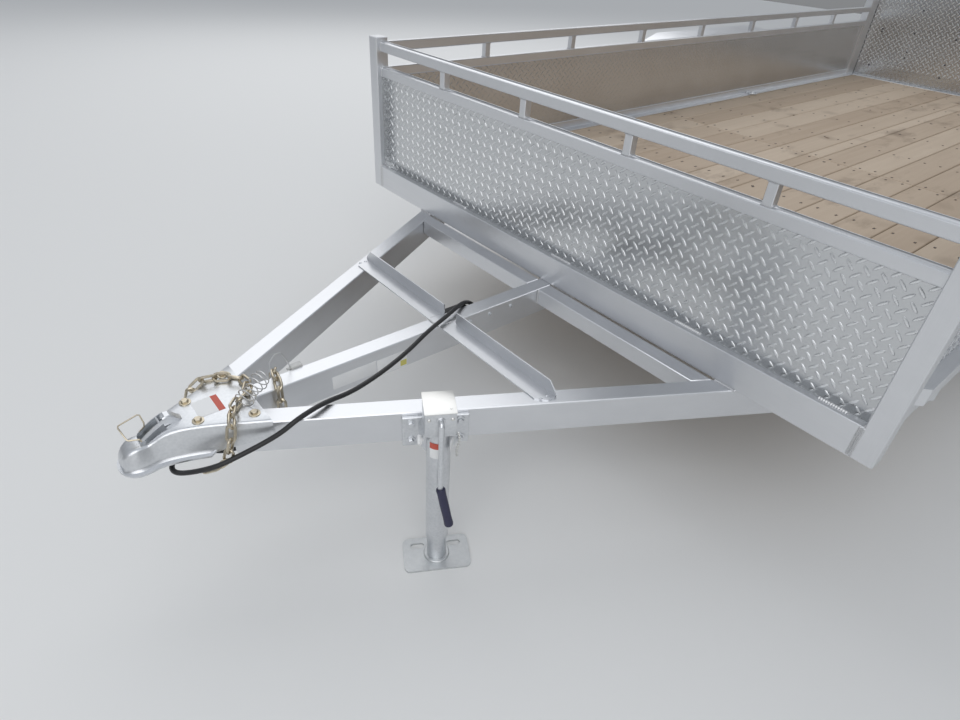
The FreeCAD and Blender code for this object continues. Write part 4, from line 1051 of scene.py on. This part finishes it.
# The lanyard: a thin steel wire, coiled between the chain and the breakaway switch, whose pin it would
# pull if the trailer came loose.
steel_wire = mottled("steel_wire", (0.62, 0.62, 0.62), (0.80, 0.80, 0.79), 0.3, 1.0, 200.0)
lanyard = Sculpture()
coil_start, coil_end = spot(1024, 58, 26), spot(946, 8, 42)
coil_axis = (coil_end - coil_start).normalized()
coil_one = coil_axis.cross(up).normalized()
coil_other = coil_one.cross(coil_axis)
turns, coil_steps = 7, 14
path = []
for index in range(turns * coil_steps + 1):
    share = index / (turns * coil_steps)
    angle = math.tau * index / coil_steps
    reach = 0.019 + 0.003 * math.sin(share * 11.0)
    path.append(coil_start.lerp(coil_end, share)
                + (coil_one * math.cos(angle) + coil_other * math.sin(angle)) * reach)
LEAD = [
    # from the coil's end to the breakaway switch
    (926, -4, 60), (908, -14, 70), (889, -22, 62), (876, -28, 34), (868, -32, 6),
]
path += [spot(*place) for place in LEAD]
lanyard.rod(path, 0.0014, 6)
lanyard.piece("lanyard_coil", "chassis", "zinc_steel", steel_wire)


# The swivel jack: zinc-plated tube, bracket and leg, its bright head with two screws, and a bent crank
# with a navy grip. The gate's hinges, which are zinc-plated too, get their soft edges with it.
jack_low, jack_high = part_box("jack_leg")
jack_middle = (jack_low + jack_high) / 2
rail_turn = math.radians(29.67)
jack_ahead = Vector((math.cos(rail_turn), -math.sin(rail_turn), 0.0))
jack_out = Vector((math.sin(rail_turn), math.cos(rail_turn), 0.0))


def at_jack(ahead, out, lift):
    """A place about the jack's axis: along the rail, out from it, and above the rails' top."""
    place = Vector((jack_middle.x, jack_middle.y, tongue_z + lift / 1000))
    return place + jack_ahead * (ahead / 1000) + jack_out * (out / 1000)


zinc_bright = mottled("zinc_bright", (0.74, 0.74, 0.72), (0.88, 0.87, 0.84), 0.34, 1.0, 14.0)
galvanised = mottled("galvanised_foot", (0.50, 0.52, 0.53), (0.78, 0.79, 0.79), 0.45, 1.0, 60.0, 0.24)
navy = mottled("navy_grip", (0.018, 0.018, 0.045), (0.035, 0.035, 0.085), 0.5, 0.0, 80.0)
softened("jack_head", zinc, 0.002, "zinc_steel", steps=2)
softened("jack_bracket", zinc, 0.0012, "zinc_steel")
softened("jack_tube", zinc, 0.0008, "zinc_steel", limit=40)
softened("jack_leg", zinc, 0.0008, "zinc_steel", limit=40)
softened("gate_hinge_leaves", zinc, 0.0012, "zinc_steel", limit=40)
softened("gate_hinge_pins", zinc, 0.0012, "zinc_steel", limit=40)

crank = Sculpture()
head_half, crank_level, crank_reach, crank_out = 38.5, 58.0, 197.0, 14.0
arm_out = head_half + crank_out
elbow = [
    at_jack(0, head_half, crank_level), at_jack(0, head_half + 5, crank_level),
    at_jack(0, arm_out - 3.5, crank_level - 1.2), at_jack(0, arm_out - 0.8, crank_level - 4),
    at_jack(0, arm_out, crank_level - 9), at_jack(0, arm_out, crank_level - crank_reach + 8),
]
handle_top = at_jack(0, arm_out, crank_level - crank_reach)
handle_way = (jack_ahead * -0.183 + jack_out * 0.176 - up * 0.967).normalized()
elbow += [handle_top, handle_top + handle_way * 0.012, handle_top + handle_way * 0.117]
crank.rod(elbow, 0.0065, 14)
crank.turned(at_jack(0, head_half - 0.2, crank_level), jack_out, [
    (0.0, 0.0105), (0.002, 0.0105), (0.003, 0.009)], 18)
crank.material = 1
GRIP_PROFILE = [
    # along the handle, radius
    (0.0, 0.0072), (0.0, 0.0100), (0.003, 0.0114), (0.020, 0.0106), (0.050, 0.0112), (0.085, 0.0106),
    (0.106, 0.0114), (0.1105, 0.0104), (0.1105, 0.0072),
]
crank.turned(handle_top, handle_way, GRIP_PROFILE, 18)
made = crank.piece("jack_crank_bent", body_of("jack_crank"), "zinc_steel", zinc, navy)
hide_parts("jack_crank")


# The foot: a galvanised plate with rounded corners and a slot on each side of the ring that is welded
# round the leg.
foot = Sculpture()
foot_half, foot_side, foot_round, foot_thick = 88.0, 52.5, 16.0, 0.006
slot_ahead, slot_out, slot_half, slot_radius = 49.0, -27.0, 10.5, 8.0
ground_lift = -1000 * tongue_z
outline = []
for turn, (mid_x, mid_y) in enumerate(((1, 1), (-1, 1), (-1, -1), (1, -1))):
    outline += arc((mid_x * (foot_half - foot_round), mid_y * (foot_side - foot_round)),
                   (foot_round, foot_round), quarter * turn, quarter * (turn + 1), 5)
loops = [outline]
for side in (-1, 1):
    slot = []
    for end in (1, -1):
        slot += arc((side * slot_ahead + end * slot_half, slot_out), (slot_radius, slot_radius),
                    -end * quarter, (2 - end) * quarter, 6)
    loops.append(slot)
rim_edges = []
for loop in loops:
    corners = [foot.bm.verts.new(at_jack(along, out, ground_lift)) for along, out in loop]
    rim_edges += [foot.bm.edges.new((corners[index - 1], corners[index])) for index in range(len(corners))]
filled = bmesh.ops.triangle_fill(foot.bm, use_beauty=True, use_dissolve=True, edges=rim_edges)
bottom = [item for item in filled["geom"] if isinstance(item, bmesh.types.BMFace)]
raised = bmesh.ops.extrude_face_region(foot.bm, geom=bottom)
for item in raised["geom"]:
    if isinstance(item, bmesh.types.BMVert):
        item.co.z += foot_thick
foot.turned(at_jack(0, 0, ground_lift), up, [
    (0.0058, 0.0256), (0.0058, 0.034), (0.0092, 0.034), (0.0108, 0.0324), (0.0108, 0.0256)], 32, True)
made = foot.piece("jack_foot_pressed", body_of("jack_foot"), "zinc_steel", galvanised)
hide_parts("jack_foot")


# The jack's fittings: the head's cover with its screws, the pull knob, a tag, the blank label that is
# bent round the tube, and a chain of beads.
fittings = Sculpture()
head_top = 78.0
fittings.block(at_jack(0, 0, head_top + 0.9), (0.073, 0.081, 0.0018), 0.0006, -rail_turn)
for side in (-26, 26):
    fittings.stud(at_jack(side, head_half, 62), jack_out, 0.0045, 0.0025)
fittings.stud(at_jack(-24, 24, head_top + 1.8), up, 0.0025, 0.0012)
fittings.material = 1
fittings.turned(at_jack(36, 8, -20), jack_ahead, [
    (0.0, 0.004), (0.004, 0.004), (0.004, 0.0105), (0.009, 0.0125), (0.013, 0.0105), (0.0145, 0.0)], 16)
fittings.block(at_jack(-28, 22, -28), (0.001, 0.020, 0.034), 0.0003, -rail_turn - 0.5)
label_inside, label_outside = 29.0, 29.5
label_bend = (math.radians(41.2), math.radians(98.8), 8)
bent_label = arc((0, 0), (label_inside, label_inside), *label_bend)
bent_label += arc((0, 0), (label_outside, label_outside), *label_bend)[::-1]
for label_low, label_high, material in ((-36, -19, 2), (-65, -36, 1)):
    fittings.material = material
    fittings.prism(bent_label, at_jack, label_low, label_high)
fittings.material = 0
beads, bead_pitch = 9, 8.0
for index in range(beads):
    place = at_jack(-42 - 3 * math.sin(index * 0.7), 22 + index * 0.4, 4 - index * bead_pitch)
    fittings.turned(place, up, [
        (-0.0036, 0.0), (-0.0025, 0.0025), (0.0, 0.0036), (0.0025, 0.0025), (0.0036, 0.0)], 8)
made = fittings.piece("jack_fittings", "jack_swivel", "zinc_steel", zinc_bright, label_white, label_red)


# The bolts of the tongue: four through the jack's plate, two screws on each end of the cross bar, and
# three small bolts on the centre rail's side.
plate_bolts = Sculpture()
plate_out, plate_half = -55.5, 59
for ahead in (-plate_half, plate_half):
    for lift in (-26, -80):
        plate_bolts.bolt(at_jack(ahead, plate_out, lift), jack_out, 0.0072)
for ahead, left in ((413, -430), (433, -430), (413, 430), (433, 430)):
    plate_bolts.stud(spot(ahead, left, 3.2), up, 0.0045, 0.0028)
for ahead in (329, 254, 170):
    plate_bolts.bolt(spot(ahead, 25.4, -22.5), Vector((0, 1, 0)), 0.0042)
plate_bolts.piece("tongue_bolts", "chassis", "zinc_steel", zinc)


# The wheels: ribbed tyres on silver rims, with black hubs and axles. A tyre is a ring of profiles
# whose shoulders dip at every slot; a rim is a dished ring with eight windows, and six lug nuts.
rubber = Finish("tyre_rubber", (0.028, 0.028, 0.030), 0.78)
rubber_dust = rubber.noise(rubber.place, 30.0, 4.0, 0.6)
rubber.feed("Base Color", rubber_dust.blend((0.020, 0.020, 0.021), (0.050, 0.048, 0.045)))
rubber.bump(rubber_dust, 0.15, 0.0005)
silver = mottled("rim_silver", (0.56, 0.57, 0.58), (0.68, 0.69, 0.70), 0.34, 0.7, 12.0)
chrome = mottled("lug_chrome", (0.80, 0.80, 0.81), (0.90, 0.90, 0.91), 0.14, 1.0, 90.0, 0.06)
black = mottled("black_enamel", (0.018, 0.018, 0.018), (0.055, 0.053, 0.05), 0.42, 0.0, 14.0)
HALF_TYRE = [
    # across the tread from its middle, radius, how far it dips in a slot
    (0, 335, 0), (12, 335, 0), (13, 327.5, 0), (19, 327.5, 0), (20, 335, 1),
    (45, 334.6, 1), (46, 327, 0), (52, 327, 0), (53, 334.2, 6), (66, 333.6, 6),
    (75, 332, 6), (84, 327, 5), (91, 318.5, 2.5), (96, 305, 0), (99.5, 285, 0),
    (100.5, 262, 0), (100, 240, 0), (98, 222, 0), (95.5, 211, 0), (96.5, 207, 0),
    (93, 203.5, 0), (89, 200, 0), (84, 194, 0), (78, 190.6, 0),
]
tyre_loop = [(across, radius, dip) for across, radius, dip in HALF_TYRE]
tyre_loop += [(-across, radius, dip) for across, radius, dip in HALF_TYRE[:0:-1]]
RIM_DISH = [
    # radius, height toward the outside
    (43.5, 19), (50, 20.5), (60, 24), (72, 30), (85, 36), (98, 40), (111, 41.2),
    (124, 39), (137, 33.5), (150, 27), (161, 22.4),
]
RIM_BARREL = [
    # height toward the outside, radius
    (76, 190.4), (76, 184.5), (71, 181), (66, 178), (40, 170), (20, 162.5), (-40, 168),
    (-66, 178), (-76, 181.5), (-76, 190.4),
]
slots_round = 46
spans, windows = 96, 8
nut_circle, nuts = 69.85, 6
SLOT_STEPS = [
    # share of a pitch, dips or not
    (0.0, False), (0.30, False), (0.60, False), (0.62, True), (0.96, True), (0.98, False),
]
for word in ("front_left", "front_right", "rear_left", "rear_right"):
    low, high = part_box(f"tyre_{word}")
    hub_place = (low + high) / 2
    sign = 1.0 if hub_place.y > 0 else -1.0

    def at_wheel(angle, radius, across):
        return hub_place + Vector((
            math.cos(angle) * radius / 1000, sign * across / 1000, math.sin(angle) * radius / 1000))

    tyre = Sculpture()
    rings = []
    for number in range(slots_round):
        for share, dips in SLOT_STEPS:
            angle = math.tau * (number + share) / slots_round
            rings.append([at_wheel(angle, radius - (dip if dips else 0.0), across)
                          for across, radius, dip in tyre_loop])
    tyre.skin(rings, True)
    made = tyre.piece(f"tyre_{word}_treaded", body_of(f"tyre_{word}"), "tyre", rubber)
    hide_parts(f"tyre_{word}")

    rim = Sculpture()
    barrel_back = [(height * 0.97, radius - 3.2) for height, radius in RIM_BARREL[1:-1]]
    barrel = RIM_BARREL + barrel_back[::-1]
    rim.skin([[at_wheel(math.tau * step / spans, radius, height) for height, radius in barrel]
              for step in range(spans)], True)
    disc = bmesh.new()
    grid = [[disc.verts.new(at_wheel(math.tau * step / spans, radius, height))
             for radius, height in RIM_DISH] for step in range(spans)]
    for step in range(spans):
        aside = abs((step + 0.5) % (spans / windows) - spans / windows / 2)
        for row in range(len(RIM_DISH) - 1):
            if aside < 3.4 and 5 <= row <= 7 or aside < 2.4 and row == 8:
                continue
            after = grid[(step + 1) % spans]
            disc.faces.new((grid[step][row], after[row], after[row + 1], grid[step][row + 1]))
    bmesh.ops.solidify(disc, geom=disc.faces[:], thickness=0.0042)
    rim.take(disc)
    outward = Vector((0, sign, 0))
    rim.material = 1
    for number in range(nuts):
        angle = math.tau * (number + 0.25) / nuts
        rim.turned(at_wheel(angle, nut_circle, 27), outward, [
            (0.0, 0.012), (0.004, 0.0122), (0.018, 0.0112), (0.022, 0.008), (0.0235, 0.0)], 6)
    rim.material = 2
    rim.turned(at_wheel(1.2, 156, 26), outward + (at_wheel(1.2, 150, 0) - hub_place) * -2.0, [
        (-0.004, 0.006), (0.006, 0.005), (0.03, 0.004), (0.036, 0.0042), (0.038, 0.0)], 10)
    made = rim.piece(f"rim_{word}_pressed", body_of(f"rim_{word}"), "wheel_silver", silver, chrome, rubber)
    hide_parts(f"rim_{word}")
    softened(f"hub_{word}", black, 0.0, "black_steel")
for word in ("front", "rear"):
    softened(f"axle_{word}", black, 0.0016, "black_steel")


# The lamps: moulded plastic lenses with fine ribs and soft edges, red ones on the rear beam and amber
# ones on the side beams.
LENSES = [
    # node, its slot and finish, colour, rounding of its edges
    ("tail_lamps", "red_lens", (0.45, 0.01, 0.01), 0.005),
    ("side_markers", "amber_lens", (0.75, 0.28, 0.01), 0.004),
]
for name, slot_name, colour, edge in LENSES:
    lens = Finish(slot_name, colour, 0.18)
    lens.bump(lens.noise(lens.place, 200.0, 1.0), 0.2, 0.0005)
    softened(name, lens, edge, slot_name, steps=3)


# The cable's fittings: its gland under the coupler and the plug's holder, black mouldings, and the grey
# breakaway switch with its pin, which the lanyard pulls.
vinyl = Finish("black_vinyl", (0.018, 0.018, 0.019), 0.42)
vinyl.bump(vinyl.noise(vinyl.place, 300.0, 2.0), 0.08, 0.0003)
switch_grey = mottled("switch_grey", (0.50, 0.50, 0.49), (0.66, 0.66, 0.64), 0.5, 0.0, 60.0)
softened("cable_gland", vinyl, 0.0008, "black_plastic", limit=40)
holder = Sculpture()
holder.turned(spot(297, -48.4, -29.9), Vector((1, 0, 0)), [
    (0.057, 0.0), (0.057, 0.0195), (0.0, 0.0195), (0.0, 0.023), (0.004, 0.0238), (0.010, 0.0238),
    (0.012, 0.0225), (0.093, 0.0225), (0.095, 0.020), (0.095, 0.0)], 24)
holder.block(spot(344.5, -36.0, -29.9), (0.057, 0.0208, 0.041), 0.001)
holder.piece("plug_holder", "chassis", "black_plastic", vinyl)
switch = Sculpture()
switch.block(spot(852, -33.9, -12.0), (0.030, 0.017, 0.036), 0.0015)
switch.rod([spot(866, -33.9, 0), spot(876, -33.9, 0)], 0.0032, 12)
switch.piece("breakaway_switch", "chassis", "black_plastic", switch_grey)
plug.data.materials.append(vinyl.material)
cable_data.materials.append(vinyl.material)


# The tie-down rings: rings of zinc-plated wire that lie flat over the deck, each held by a short block
# against the hold-down angle.
rings = Sculpture()
ring_ahead, ring_left, ring_up = -2801, 963, 98.7
for side in (-1, 1):
    middle = spot(ring_ahead, side * ring_left, ring_up)
    rings.rod(ring(middle, Vector((1, 0, 0)), Vector((0, 1, 0)), 0.026, 24), 0.0047, 10, True, up)
    rings.block(spot(ring_ahead, side * 989, 99.8), (0.039, 0.0196, 0.0122), 0.002)
rings.piece("tie_down_rings", "chassis", "zinc_steel", zinc)

bpy.context.view_layer.update()
